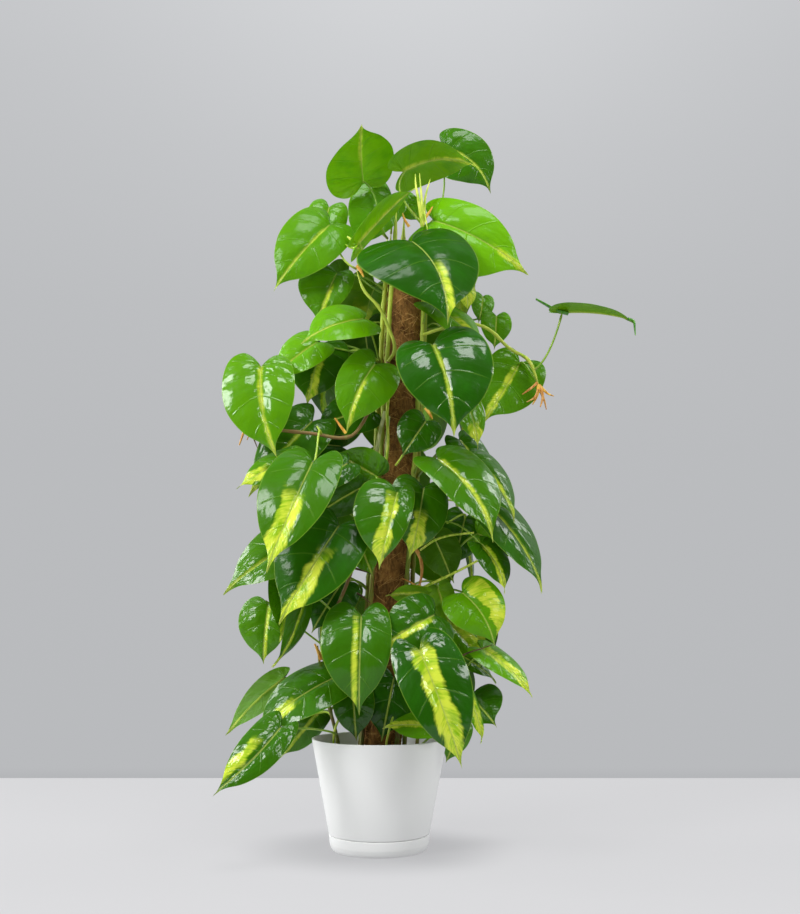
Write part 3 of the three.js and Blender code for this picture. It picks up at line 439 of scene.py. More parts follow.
def find_leaves(stems, trees):
    """Every leaf, placed where the solids have it."""
    leaves = []
    choices = [[front_leaf(*row)] for row in FRONT_LEAVES]
    for row in range(ROW_COUNT):
        for column in range(len(ROW_TURNS)):
            choices.append([hidden_leaf(row, column, attempt) for attempt in range(ATTEMPTS)])
    for options in choices:
        best, found = 0, None
        for option in options:
            tree = trees[stems[option.stem][0]]
            for slide in range(0, (MOST_SLIDES + 1) * SLIDE_STEP, SLIDE_STEP):
                corners = option.place(slide).corners()
                if hits(tree, corners[FIRST_TRIED]) == 0:
                    continue
                score = hits(tree, corners)
                if score > best:
                    best, found = score, (option, slide)
            if best > SURE_MATCH:
                break
        if found is None:
            print("leaf not found:", options[0].name)
            continue
        leaf, slide = found
        leaves.append(leaf.place(slide))
    return leaves


NODE_DROPS = [24, 40, 12, 56, 75, 0, 95, -15]
DEPARTURES = [[0.35, 0], [0.1, 0.3], [0.1, -0.3], [0.6, 0], [-0.2, 0]]
ARRIVALS = [[0.5, 0.8, 0], [0.9, 0.3, 0], [0.2, 1, 0.5], [0.2, 1, -0.5], [0.8, 0.5, 0.8], [0.8, 0.5, -0.8]]


def bezier(corners, t):
    t = np.asarray(t, float)[:, None]
    a, b, c, d = corners
    return a * (1 - t) ** 3 + 3 * b * t * (1 - t) ** 2 + 3 * c * t * t * (1 - t) + d * t ** 3


def stalk_choices(leaf, route):
    """The routes that the rule of the solids tries, one after another."""
    foot = leaf.at(STALK_PLACE, 0)
    usable = [p for p in route[1:] if p[2] >= SOIL_TOP + 4]
    for drop in NODE_DROPS:
        height = leaf.base[2] - drop
        node = min(usable, key=lambda p: abs(p[2] - height) * 2 + math.dist(p[:2], leaf.base[:2]))
        span = np.linalg.norm(foot - node)
        out = unit(np.array([leaf.base[0] - node[0], leaf.base[1] - node[1], 0.01]))
        aside = np.array([-out[1], out[0], 0])
        for back, under, sway in ARRIVALS:
            arrive = unit(leaf.along * -back + leaf.face * -under + leaf.across * sway)
            for rise, lean in DEPARTURES:
                leave = out * 0.35 + aside * lean + np.array([0, 0, rise])
                yield [node, node + leave * span, foot + arrive * 0.4 * span, foot]


def find_stalk(leaf, route, tree):
    """The route of the solid's stalk: the one with ring corners round its inner points."""
    places, ring_corners = [0.25, 0.5, 0.75], 3
    best = -1
    for corners in stalk_choices(leaf, route):
        score = 0
        for p in bezier(corners, places):
            ring = tree.find_range(p, STALK_RADIUS + TOUCH)
            score += min(sum(away > STALK_RADIUS - TOUCH for _, _, away in ring), ring_corners)
        if score > best:
            best, leaf.stalk = score, corners
        if best == len(places) * ring_corners:
            break
    if leaf.name == "C0":
        # this one stands on the far end of its runner
        node, foot = seen([180, 541], -34), leaf.at(STALK_PLACE, 0)
        leaf.stalk = [node, node + np.array([16, 0, 10]), foot + np.array([-7, 0, -26]), foot]


# Meshes

# The points of a leaf keep four marks of three numbers each: place is along, aside and the
# leaf's length, vein is round the edge, out from the midrib and a seed, tone is the tone and
# the stripe's centre and half width, and stripe is its start, its end and the gloss
MARKS = ("place", "vein", "tone", "stripe")


class Shape:
    """A closed mesh being put together, with a few numbers kept at each point."""

    def __init__(self):
        self.points, self.faces, self.finishes, self.count = [], [], [], 0
        self.marks = {mark: [] for mark in MARKS}

    def add(self, points, faces, finish, **marks):
        points, faces = np.asarray(points, float), np.asarray(faces, int)
        self.points.append(points)
        self.faces.append(faces + self.count)
        self.finishes.append(np.broadcast_to(finish, len(faces)))
        for mark in MARKS:
            self.marks[mark].append(np.broadcast_to(marks.get(mark, (0.0, 0.0, 0.0)), (len(points), 3)))
        self.count += len(points)

    def mesh(self, name, finishes, smooth_angle):
        points, faces = np.concatenate(self.points), np.concatenate(self.faces)
        inset = 1e-4
        points = np.clip(points * MM, np.array(cad_box[0]) + inset, np.array(cad_box[1]) - inset)
        mesh = bpy.data.meshes.new(name)
        mesh.vertices.add(len(points))
        mesh.vertices.foreach_set("co", points.ravel())
        mesh.loops.add(faces.size)
        mesh.loops.foreach_set("vertex_index", faces.ravel())
        mesh.polygons.add(len(faces))
        mesh.polygons.foreach_set("loop_start", np.arange(len(faces)) * 3)
        mesh.polygons.foreach_set("material_index", np.concatenate(self.finishes))
        mesh.update(calc_edges=True)
        for mark in MARKS:
            values = np.concatenate(self.marks[mark])
            mesh.attributes.new(mark, "FLOAT_VECTOR", "POINT").data.foreach_set("vector", values.ravel())
        mesh.shade_smooth()
        mesh.set_sharp_from_angle(angle=math.radians(smooth_angle))
        for finish in finishes:
            mesh.materials.append(finish)
        return mesh

    def piece(self, name, finishes, slot, node=None, smooth_angle=50):
        """Hands the shape over as a piece, in place of a node of the solids if one is given."""
        piece = placed(name, self.mesh(name, finishes, smooth_angle))
        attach(piece, "root")
        if node:
            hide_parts(node)


def merged(points, faces, extra):
    """The same mesh with points that lie together made one, and faces without area left out."""
    _, first, inverse = np.unique(np.round(points, 3), axis=0, return_index=True, return_inverse=True)
    faces = inverse.reshape(-1)[faces]
    whole = (faces[:, 0] != faces[:, 1]) & (faces[:, 1] != faces[:, 2]) & (faces[:, 2] != faces[:, 0])
    return points[first], faces[whole], {key: value[first] for key, value in extra.items()}, whole


def evenly(count):
    """count angles evenly spaced round a circle."""
    return np.arange(count) / count * 2 * math.pi


def quads(a, b, over):
    """Two triangles for each four-sided field: a and b, then the same points one ring over."""
    return [np.stack([a, b, b + over], 1), np.stack([a, b + over, a + over], 1)]


def skin(rings, first, last):
    """A closed mesh over rings of points, drawn together to one point at either end."""
    rings = np.asarray(rings)
    count, sides = rings.shape[:2]
    here = np.arange(sides)
    beside, nought = (here + 1) % sides, np.zeros(sides, int)
    i, k = np.meshgrid(np.arange(count - 1), here, indexing="ij")
    a = (1 + i * sides + k).ravel()
    b = (1 + i * sides + (k + 1) % sides).ravel()
    end = 1 + (count - 1) * sides
    faces = [np.stack([nought, 1 + beside, 1 + here], 1), *quads(a, b, sides),
             np.stack([end + here, end + beside, nought + end + sides], 1)]
    return np.concatenate([[first], rings.reshape(-1, 3), [last]]), np.concatenate(faces)


def tube(points, radii, sides, flat=1.0):
    """A closed round bar along points, squeezed across by flat, and how far along each corner is."""
    points = np.asarray(points, float)
    radii = np.broadcast_to(radii, len(points))
    ahead = np.gradient(points, axis=0)
    ahead /= np.linalg.norm(ahead, axis=1)[:, None]
    steep = 0.9
    normal = np.array([0, 0, 1.0]) if abs(ahead[0][2]) < steep else np.array([1.0, 0, 0])
    angles = evenly(sides)
    rings = []
    for centre, radius, forward in zip(points, radii, ahead):
        normal = unit(normal - forward * (normal @ forward))
        side = np.cross(forward, normal)
        ring = np.outer(np.cos(angles), normal) + np.outer(np.sin(angles) * flat, side)
        rings.append(centre + radius * ring)
    along = np.repeat(np.linspace(0, 1, len(points)), sides)
    return *skin(rings, points[0], points[-1]), np.concatenate([[0], along, [1]])


def lathe(profile, segments):
    """A closed solid of revolution from [radius, height] rows that start and end on the axis."""
    angles = evenly(segments)
    circle = np.stack([np.cos(angles), np.sin(angles), 0 * angles], 1)
    rings = [radius * circle + [0, 0, height] for radius, height in profile[1:-1]]
    return skin(rings, [0, 0, profile[0][1]], [0, 0, profile[-1][1]])


# Fine blades

# The drip tip goes on from HALF_BLADE, and REACH is where the rows of points lie between the
# midrib and the edge. The veins of the lobe's spans start at the notch.
SPAN_STEPS = 7
DRIP_TIP = [[0.83, 0.112, 0.71], [0.915, 0.032, 0.85], [1, 0, 1]]
REACH = np.array([0, 0.02, 0.05, 0.1, 0.18, 0.28, 0.4, 0.52, 0.64, 0.76, 0.87, 0.95, 1])
LOBE_SPANS = 3


def half_outline():
    """Rows of [a, w, vein] round half a blade, from the notch to the tip."""
    rows = np.array([[0, 0, 0]] + HALF_BLADE[:-1] + DRIP_TIP, float)
    before, after = 2 * rows[:1] - rows[1:2], 2 * rows[-1:] - rows[-2:-1]
    rows = np.concatenate([before, rows, after])
    out = []
    for i in range(1, len(rows) - 2):
        p0, p1, p2, p3 = rows[i - 1:i + 3]
        for t in np.arange(SPAN_STEPS) / SPAN_STEPS:
            out.append(0.5 * (2 * p1 + (p2 - p0) * t + (2 * p0 - 5 * p1 + 4 * p2 - p3) * t * t
                              + (3 * p1 - p0 - 3 * p2 + p3) * t ** 3))
    out.append(rows[-2])
    out = np.array(out)
    out[:, 1] = np.maximum(out[:, 1], 0)
    out[:, 2] = np.clip(out[:, 2], 0, 1)
    out[:LOBE_SPANS * SPAN_STEPS + 1, 2] = 0
    return out


OUTLINE = half_outline()
TOP_FINISH, UNDER_FINISH, STALK_FINISH, STEM_FINISH = range(4)
VEINS_A_HALF = 8
VEIN_CURVE = 0.9
SWEEP = 0.03
GULL_SHARE = 0.085
QUILT_HEIGHT = 1.2
QUILT_FULL_WIDTH = 25
WAVE_HEIGHT = 1.3
DROOP = 3.0
DROOP_START = 0.8
TOP_SHEET = 0.35
UNDER_SHEET = 0.3
RIB_HEIGHT = 0.75
RIB_WIDTH = 1.1


def add_blade(shape, leaf, look, seed):
    """A fine blade: s runs round its edge from the notch to the tip, f from the midrib outward."""
    rng = np.random.default_rng(seed)
    tone, centre, half_width, start, end = look
    up = -1 if leaf.name in UNDERSIDES else 1
    s = np.linspace(0, 1, len(OUTLINE))[:, None] + 0 * REACH
    f = REACH + 0 * s
    a = OUTLINE[:, 2:3] * (1 - f) + OUTLINE[:, 0:1] * f - SWEEP * np.sin(math.pi * f) * s
    quilt = np.abs(np.sin(math.pi * VEINS_A_HALF * s ** VEIN_CURVE)) ** 0.6
    wave_count, wave_starts = rng.uniform(1.6, 2.8), rng.uniform(0, 2 * math.pi, 2)
    droop = -DROOP * np.clip((a - DROOP_START) / (1 - DROOP_START), 0, 1) ** 2
    fields = np.arange(s.size).reshape(s.shape)[:-1, :-1].ravel()
    sheet_faces = np.concatenate(quads(fields, fields + s.shape[1], 1))
    points, faces, finishes, places, veins = [], [], [], [], []
    for side, half, slim, wave_start in zip((-1, 1), leaf.halves, SLIM.get(leaf.name, [1, 1]), wave_starts):
        w = OUTLINE[:, 1:2] * f * 2 * half * slim
        wide = OUTLINE[:, 1:2] * 2 * half * slim * leaf.length
        gull = GULL_SHARE * wide * np.sin(math.pi * f ** 0.7)
        swell = QUILT_HEIGHT * quilt * np.sin(math.pi * f) ** 0.7 * np.minimum(wide / QUILT_FULL_WIDTH, 1)
        wave = WAVE_HEIGHT * f * f * np.sin(2 * math.pi * wave_count * s + wave_start)
        rise = gull + swell + wave * np.minimum(s * 6, 1) + droop
        rib = RIB_HEIGHT * np.exp(-(w * leaf.length / RIB_WIDTH) ** 2) * (1 - 0.75 * a)
        for sheet, thick in ((1, TOP_SHEET), (-1, UNDER_SHEET + rib)):
            # merged() below joins the sheets at the margin and the halves at the midrib
            offset = up * (rise + sheet * thick * np.sqrt(1 - f ** 4))
            outward = sheet_faces if side * sheet * up < 0 else sheet_faces[:, ::-1]
            faces.append(outward + len(points) * s.size)
            points.append(leaf.at(a.ravel(), side * w.ravel(), offset.ravel()))
            finishes.append(np.full(len(outward), TOP_FINISH if sheet > 0 else UNDER_FINISH))
            places.append(np.stack([a.ravel(), side * w.ravel(), np.full(s.size, leaf.length)], 1))
            veins.append(np.stack([s.ravel(), side * f.ravel(), np.full(s.size, seed % 97)], 1))
    extra = {"place": np.concatenate(places), "vein": np.concatenate(veins)}
    points, faces, extra, whole = merged(np.concatenate(points), np.concatenate(faces), extra)
    gloss = GLOSS.get(leaf.name, rng.uniform(0.4, 0.9))
    shape.add(points, faces, np.concatenate(finishes)[whole], place=extra["place"], vein=extra["vein"],
              tone=(tone, centre, half_width), stripe=(start, end, gloss))


def add_stalk(shape, leaf, seed):
    luck = np.random.default_rng(seed).random()
    t = np.linspace(0, 1, 17)
    radii = STALK_RADIUS - 0.35 * np.sin(math.pi * t) ** 0.5 + 0.25 * np.exp(-((1 - t) / 0.06) ** 2)
    radii[-1] = 0.7
    points, faces, along = tube(bezier(leaf.stalk, t), radii, 8)
    shape.add(points, faces, STALK_FINISH, place=np.stack([along, 0 * along, 0 * along + luck], 1))


def add_stem(shape, route, radius, seed, age):
    """A stem with a node ring every few steps and a tapered end."""
    rng = np.random.default_rng(seed)
    count = max(int(np.linalg.norm(route[-1] - route[0]) / 5), 12)
    line = smooth(route, count)
    if route[0][2] < SOIL_TOP:
        line[:, :2] += 0.4 * np.stack([np.sin(line[:, 2] / 17 + seed), np.cos(line[:, 2] / 13 + seed)], 1)
    steps = np.arange(count + 1)
    gap = rng.integers(7, 10)
    ring = (steps + rng.integers(0, gap)) % gap == 0
    radii = radius * (0.92 + 0.22 * ring) * np.clip((count - steps) / 5, 0.12, 1) ** 0.7
    points, faces, _ = tube(line, radii, 12)
    shape.add(points, faces, STEM_FINISH, place=(0.0, age, 0.0))


# Materials
class Field:
    """A number or colour that varies over a surface, built from shader nodes."""

    def __init__(self, tree, socket):
        self.tree, self.socket = tree, socket

    def node(self, kind, settings=(), inputs=(), output=0):
        node = self.tree.nodes.new(kind)
        for key, value in dict(settings).items():
            setattr(node, key, value)
        for key, value in dict(inputs).items():
            plug(self.tree, value, node.inputs[key])
        return Field(self.tree, node.outputs[output])

    def math(self, operation, other=0.0):
        return self.node("ShaderNodeMath", {"operation": operation}, {0: self, 1: other})

    def __add__(self, other):
        return self.math("ADD", other)

    def __sub__(self, other):
        return self.math("SUBTRACT", other)

    def __mul__(self, other):
        return self.math("MULTIPLY", other)

    def __truediv__(self, other):
        return self.math("DIVIDE", other)

    def size(self):
        return self.math("ABSOLUTE")

    def step(self, low, high):
        """From 0 at low to 1 at high, smoothly."""
        return self.node("ShaderNodeMapRange", {"interpolation_type": "SMOOTHSTEP"},
                         {"Value": self, "From Min": low, "From Max": high})

    def mix(self, below, above):
        """The colour below where this is 0, and above where it is 1."""
        return self.node("ShaderNodeMix", {"data_type": "RGBA"}, {0: self, 6: below, 7: above}, output=2)

    def parts(self):
        """The three numbers of a vector."""
        outputs = self.node("ShaderNodeSeparateXYZ", inputs={0: self}).socket.node.outputs
        return [Field(self.tree, output) for output in outputs]


def plug(tree, value, socket):
    if isinstance(value, Field):
        tree.links.new(value.socket, socket)
    elif socket.type == "RGBA":
        socket.default_value = (*value, 1) if len(value) == 3 else value
    else:
        socket.default_value = value


def srgb(red, green, blue):
    def linear(value):
        value /= 255
        return value / 12.92 if value <= 0.04045 else ((value + 0.055) / 1.055) ** 2.4
    return linear(red), linear(green), linear(blue)


class Finish:
    """A material with a Principled shader to be filled in."""

    def __init__(self, name, **values):
        self.material = bpy.data.materials.new(name)
        self.material.use_nodes = True
        self.tree = self.material.node_tree
        self.shader = self.tree.nodes["Principled BSDF"]
        self.output = self.tree.nodes["Material Output"]
        # an empty field, from which the first nodes are made
        self.start = Field(self.tree, None)
        self.set(**values)

    def set(self, **values):
        for key, value in values.items():
            plug(self.tree, value, self.shader.inputs[key.replace("_", " ")])

    def mark(self, name):
        """The three numbers that a mesh keeps under a name."""
        return self.start.node("ShaderNodeAttribute", {"attribute_name": name}, output=1).parts()

    def place(self):
        return self.start.node("ShaderNodeTexCoord", output=3)

    def vector(self, x=0.0, y=0.0, z=0.0):
        return self.start.node("ShaderNodeCombineXYZ", inputs={0: x, 1: y, 2: z})

    def noise(self, where, scale, detail=3.0):
        inputs = {"Vector": where, "Scale": scale, "Detail": detail}
        return self.start.node("ShaderNodeTexNoise", inputs=inputs)

    def grain(self, scale, detail=3.0, squeeze=1.0):
        """Noise that lies fixed in the object, drawn out upwards where squeeze is small."""
        settings, inputs = {"operation": "MULTIPLY"}, {0: self.place(), 1: (1.0, 1.0, squeeze)}
        return self.noise(self.start.node("ShaderNodeVectorMath", settings, inputs), scale, detail)

    def bump(self, height, strength, distance):
        inputs = {"Height": height, "Strength": strength, "Distance": distance}
        normal = self.start.node("ShaderNodeBump", inputs=inputs)
        self.set(Normal=normal, Coat_Normal=normal)

    def blend(self, first, second, amount):
        """Ends the material in a mixture of two shaders."""
        both = self.tree.nodes.new("ShaderNodeMixShader")
        plug(self.tree, amount, both.inputs[0])
        self.tree.links.new(first.outputs[0], both.inputs[1])
        self.tree.links.new(second.outputs[0], both.inputs[2])
        self.tree.links.new(both.outputs[0], self.output.inputs[0])

    def through(self, colour, amount):
        """Lets some light through, as a leaf does."""
        light = self.start.node("ShaderNodeBsdfTranslucent", inputs={"Color": colour}).socket.node
        self.blend(self.shader, light, amount)


def leaf_finish(name, under):
    finish = Finish(name)
    a, w, length = finish.mark("place")
    s, f, seed = finish.mark("vein")
    tone, centre, half_width = finish.mark("tone")
    start, end, gloss = finish.mark("stripe")
    reach = f.size()
    # streaks and finer threads run out along the side veins, patches lie anywhere
    streak_count, thread_count, patch_count, ripple_count = 17, 90, 4.5, 11
    streaks = finish.noise(finish.vector(s * streak_count + seed * 3.7, f * 1.3, seed), 1.0, 4.0)
    threads = finish.noise(finish.vector(s * thread_count, f * 2.4, seed), 1.0)
    patches = finish.noise(finish.vector(a, w, seed * 1.3), patch_count)
    if under:
        dark, bright = srgb(40, 92, 4), srgb(150, 212, 8)
        paler, lime, deep_lime = srgb(84, 132, 26), srgb(204, 222, 70), srgb(150, 190, 30)
    else:
        dark, bright = srgb(3, 73, 0), srgb(126, 200, 0)
        paler, lime, deep_lime = srgb(18, 94, 0), srgb(220, 234, 70), srgb(146, 196, 8)
    shade = (patches * 1.2 + streaks * 0.8 + threads * 0.4).step(1.0, 1.7)
    # the tone mixes dark to bright green: partly the leaf's own green, partly painted light and shade
    green = shade.mix(tone.mix(dark, bright), tone.mix(paler, srgb(118, 190, 16)))
    # the lime stripe, cut off before its start and after its end
    feather = (streaks - 0.5) * 0.11 + (threads - 0.5) * 0.07
    sway = (patches - 0.5) * 1.9
    off = (w - centre).size()
    wide = half_width * (sway * 0.9 + 1.0)
    stripe = (wide - off + feather * (half_width * 6.5).math("MINIMUM", 1.0)).step(-0.016, 0.022)
    along = a + feather + sway * 0.08
    stripe = stripe * along.step(start - 0.1, start + 0.08) * along.step(end + 0.08, end - 0.06)
    lime_here = (streaks * 1.1 + threads * 0.6).step(0.6, 1.0).mix(deep_lime, lime)
    colour = stripe.mix(green, lime_here)
    # veins: pale midrib, faint side veins, and a thin pale margin that is partly the rim's own colour and
    # partly painted light coming through the thin edge
    vein = ((s.math("POWER", VEIN_CURVE) * VEINS_A_HALF).math("FRACT") - 0.5).size()
    side_vein = vein.step(0.465, 0.5) * reach.step(0.0, 0.05) * reach.step(1.0, 0.7)
    colour = (side_vein * 0.22).mix(colour, srgb(130, 180, 50))
    rib = (w * length).size()
    midrib = rib.step(1.2, 0.4) * a.step(-0.02, 0.02)
    colour = (midrib * 0.7).mix(colour, srgb(196, 214, 104))
    # partly painted light: the pale margin stands in for light coming through the thin edge
    margin = reach.step(0.97, 0.995)
    colour = (margin * 0.45).mix(colour, srgb(150, 186, 60))
    finish.set(Base_Color=colour, IOR=1.45)
    if under:
        finish.set(Roughness=0.42, Specular_IOR_Level=0.3)
    else:
        finish.set(Roughness=threads * 0.2 + patches * 0.2 + 0.22, Specular_IOR_Level=0.12)
        finish.set(Coat_Weight=gloss, Coat_Roughness=gloss * -0.08 + 0.19)
    ripple = finish.noise(finish.vector(s * ripple_count, f * 2.2, seed * 2.1), 1.0, 2.0)
    height = side_vein * (0.5 if under else -0.5) + ripple * 2.4 + streaks * 0.9 + threads * 0.12
    finish.bump(height, 0.6, 0.0014)
    finish.through(colour, 0.26)
    return finish.material


def stalk_finish():
    finish = Finish("leaf_stalk")
    along, _, luck = finish.mark("place")
    grain = finish.grain(90.0, 2.0)
    green = (grain * 0.6 + luck * 0.4).step(0.3, 0.75).mix(srgb(112, 158, 24), srgb(176, 206, 62))
    colour = (along.step(0.12, 0.0) * 0.6).mix(green, srgb(120, 105, 50))
    finish.set(Base_Color=colour, Roughness=0.42, Coat_Weight=0.2)
    finish.bump(grain, 0.12, 0.0003)
    finish.through(colour, 0.1)
    return finish.material


def stem_finish():
    finish = Finish("vine_stem")
    _, age, _ = finish.mark("place")
    grain = finish.grain(90.0, 4.0)
    streak = finish.grain(320.0, squeeze=0.15)
    _, _, height = finish.place().parts()
    young = (height + grain * 0.3 - age).step(0.3, 0.85)
    woody = (grain * 0.8 + streak * 0.5 + age * 0.4).step(0.45, 0.85)
    old_bark = woody.mix(srgb(120, 146, 44), srgb(122, 96, 46))
    colour = young.mix(old_bark, streak.mix(srgb(150, 184, 40), srgb(196, 206, 70)))
    finish.set(Base_Color=colour, Roughness=0.55)
    finish.bump(streak, 0.5, 0.0007)
    return finish.material


def plain_finish(name, dark, light, rough):
    finish = Finish(name, Roughness=rough)
    grain = finish.grain(300.0, squeeze=0.3)
    finish.set(Base_Color=grain.step(0.35, 0.65).mix(srgb(*dark), srgb(*light)))
    finish.bump(grain, 0.25, 0.0004)
    return finish.material


def coarse_finish(name, dark, light):
    finish = Finish(name)
    grain = finish.grain(420.0, 4.0, squeeze=0.4)
    patch = finish.grain(40.0)
    colour = (grain * 0.6 + patch * 0.5).step(0.35, 0.8).mix(srgb(*dark), srgb(*light))
    finish.set(Base_Color=colour, Roughness=0.9, Specular_IOR_Level=0.2)
    finish.bump(grain, 0.7, 0.001)
    return finish.material


def pot_finish():
    finish = Finish("white_plastic", Base_Color=srgb(234, 235, 234), Coat_Weight=0.15, Coat_Roughness=0.3)
    grain = finish.grain(900.0, 2.0)
    wave = finish.grain(30.0, 2.0)
    finish.set(Roughness=grain * 0.1 + wave * 0.12 + 0.3)
    finish.bump(grain + wave * 2, 0.12, 0.0002)
    return finish.material


# The plant
LEAF_FINISHES = [leaf_finish("leaf_top", False), leaf_finish("leaf_under", True),
                 stalk_finish(), stem_finish()]
STEM_AGES = {"S3": 0.5, "S4": 0.4}


def leaf_look(leaf, seed):
    """The leaf's tone, then its stripe's centre, half width, start and end, as parts of one."""
    if leaf.name in LOOKS:
        row = LOOKS[leaf.name]
        return [value / 100 for value in row + PLAIN_LOOK[len(row):]]
    rng = np.random.default_rng(500 + seed)
    return [rng.choice([0.1, 0.15, 0.25, 0.5]), rng.uniform(-0.03, 0.03), rng.uniform(0.03, 0.16),
            rng.uniform(-0.1, 0.4), rng.uniform(0.8, 1.1)]


def build_foliage():
    stems = stem_routes()
    vines = dict.fromkeys([row[0] for row in VINES] + [vine for vine, _, _ in stems.values()])
    trees = {vine: corner_tree(nodes["vine_" + vine.lower()]) for vine in vines}
    leaves = find_leaves(stems, trees)
    shapes = {vine: Shape() for vine in trees}
    for seed, (name, (vine, route, radius)) in enumerate(stems.items()):
        add_stem(shapes[vine], route, radius, seed, STEM_AGES.get(name, 0))
    for seed, leaf in enumerate(leaves):
        vine, route, _ = stems[leaf.stem]
        find_stalk(leaf, route, trees[vine])
        add_blade(shapes[vine], leaf, leaf_look(leaf, seed), seed + 11)
        add_stalk(shapes[vine], leaf, seed + 900)
    for vine, shape in shapes.items():
        shape.piece("foliage_" + vine.lower(), LEAF_FINISHES, "foliage_green", "vine_" + vine.lower())


def taper(z):
    return FOOT_RADIUS + (RIM_RADIUS - FOOT_RADIUS) * (z - SAUCER_HEIGHT) / (POT_HEIGHT - SAUCER_HEIGHT)


def rounded(profile, radius, steps=4):
    """The profile with its inner corners rounded by up to radius."""
    profile = np.asarray(profile, float)
    out = [profile[0]]
    for before, corner, after in zip(profile, profile[1:], profile[2:]):
        back, ahead = before - corner, after - corner
        cut = min(radius, np.linalg.norm(back) * 0.45, np.linalg.norm(ahead) * 0.45)
        p, q = corner + unit(back) * cut, corner + unit(ahead) * cut
        for t in np.linspace(0, 1, steps + 1):
            out.append(p * (1 - t) ** 2 + 2 * corner * t * (1 - t) + q * t * t)
    out.append(profile[-1])
    return out


def build_pot():
    bottom, low = FLOOR_HEIGHT + SEAM, SAUCER_HEIGHT + 3
    step = SAUCER_HEIGHT + SEAM
    pot = [[0, bottom], [FOOT_RADIUS - 4, bottom], [FOOT_RADIUS - 4, step], [FOOT_RADIUS, step],
           [taper(POT_HEIGHT - 0.4), POT_HEIGHT], [RIM_RADIUS - WALL - 0.2, POT_HEIGHT],
           [taper(low) - WALL, low], [taper(low) - WALL - 4, bottom + WALL], [0, bottom + WALL]]
    hollow = FOOT_RADIUS - 3.4
    saucer = [[0, 0], [SAUCER_FOOT - 0.4, 0], [SAUCER_FOOT + 1.5, 3], [FOOT_RADIUS - 1.1, 7],
              [FOOT_RADIUS, SAUCER_HEIGHT], [hollow, SAUCER_HEIGHT], [hollow, FLOOR_HEIGHT],
              [0, FLOOR_HEIGHT]]
    white = pot_finish()
    segments = 144
    for node, profile, edge in (("pot", pot, 1.1), ("saucer", saucer, 1.0)):
        shape = Shape()
        shape.add(*lathe(rounded(profile, edge), segments), 0)
        shape.piece(node + "_shell", [white], "pot_white", node, smooth_angle=35)


def lump(rng, centre, size, squash):
    """A small rough stone or chip."""
    rows, columns = 5, 7
    rings = []
    for i in range(1, rows):
        polar, turns = math.pi * i / rows, evenly(columns) + 0.4 * i
        level = np.full(columns, math.cos(polar))
        rings.append(np.stack([math.sin(polar) * np.cos(turns), math.sin(polar) * np.sin(turns), level], 1))
    points, faces = skin(rings, [0, 0, 1], [0, 0, -1])
    points = points * rng.uniform(0.75, 1.15, (len(points), 1)) * size * np.array([1, *squash])
    turn, lean = rng.uniform(0, 2 * math.pi), rng.uniform(-0.5, 0.5)
    c, s = math.cos(turn), math.sin(turn)
    tilt = np.array([[math.cos(lean), 0, math.sin(lean)], [0, 1, 0], [-math.sin(lean), 0, math.cos(lean)]])
    spin = np.array([[c, -s, 0], [s, c, 0], [0, 0, 1]]) @ tilt
    return points @ spin.T + centre, faces[:, ::-1]


def build_soil():
    rng = np.random.default_rng(5)
    segments, chips, soil, bark, perlite = 96, 520, 0, 1, 2
    low, top = FLOOR_HEIGHT + SEAM + WALL + SEAM, SOIL_TOP - 1.5
    inside = WALL + SEAM
    edge = taper(SOIL_TOP - 3) - inside
    profile = [[0, low], [taper(20) - inside - 4.6, low], [taper(21) - inside, 21], [edge, SOIL_TOP - 4]]
    profile += [[r, top - 2.2 * (r / edge) ** 6] for r in np.linspace(edge - 0.5, 2, 26)]
    points, faces = lathe(profile + [[0, top]], segments)
    upper = points[:, 2] > SOIL_TOP - 3.9
    bumps = np.sin(points[:, 0] * 0.9 + 1.3) * np.sin(points[:, 1] * 0.8) + rng.uniform(-1, 1, len(points))
    points[upper, 2] += 0.45 * bumps[upper]
    shape = Shape()
    shape.add(points, faces, soil)
    for i in range(chips):
        away, turn = edge * 0.97 * math.sqrt(rng.random()), rng.uniform(0, 2 * math.pi)
        size = rng.uniform(0.7, 2.2) if i % 6 else rng.uniform(2.0, 4.0)
        away = min(away, edge - size)
        centre = [away * math.cos(turn), away * math.sin(turn), SOIL_TOP - 1.2]
        if i % 6 and i % 9 == 0:
            finish = perlite
        else:
            finish = soil if i % 3 else bark
        squash = (rng.uniform(0.5, 0.9), rng.uniform(0.35, 0.6))
        shape.add(*lump(rng, centre, size, squash), finish)
    finishes = [coarse_finish("soil", (24, 18, 13), (62, 47, 34)),
                coarse_finish("bark", (52, 33, 20), (112, 78, 48)),
                coarse_finish("perlite", (150, 145, 132), (205, 202, 192))]
    shape.piece("soil_bed", finishes, "soil_dark", "potting_soil")


def round_pole(angle, radius, level):
    """Points round the leaning pole's axis."""
    return np.stack([pole_centre(level) + radius * np.cos(angle), radius * np.sin(angle), level], 1)


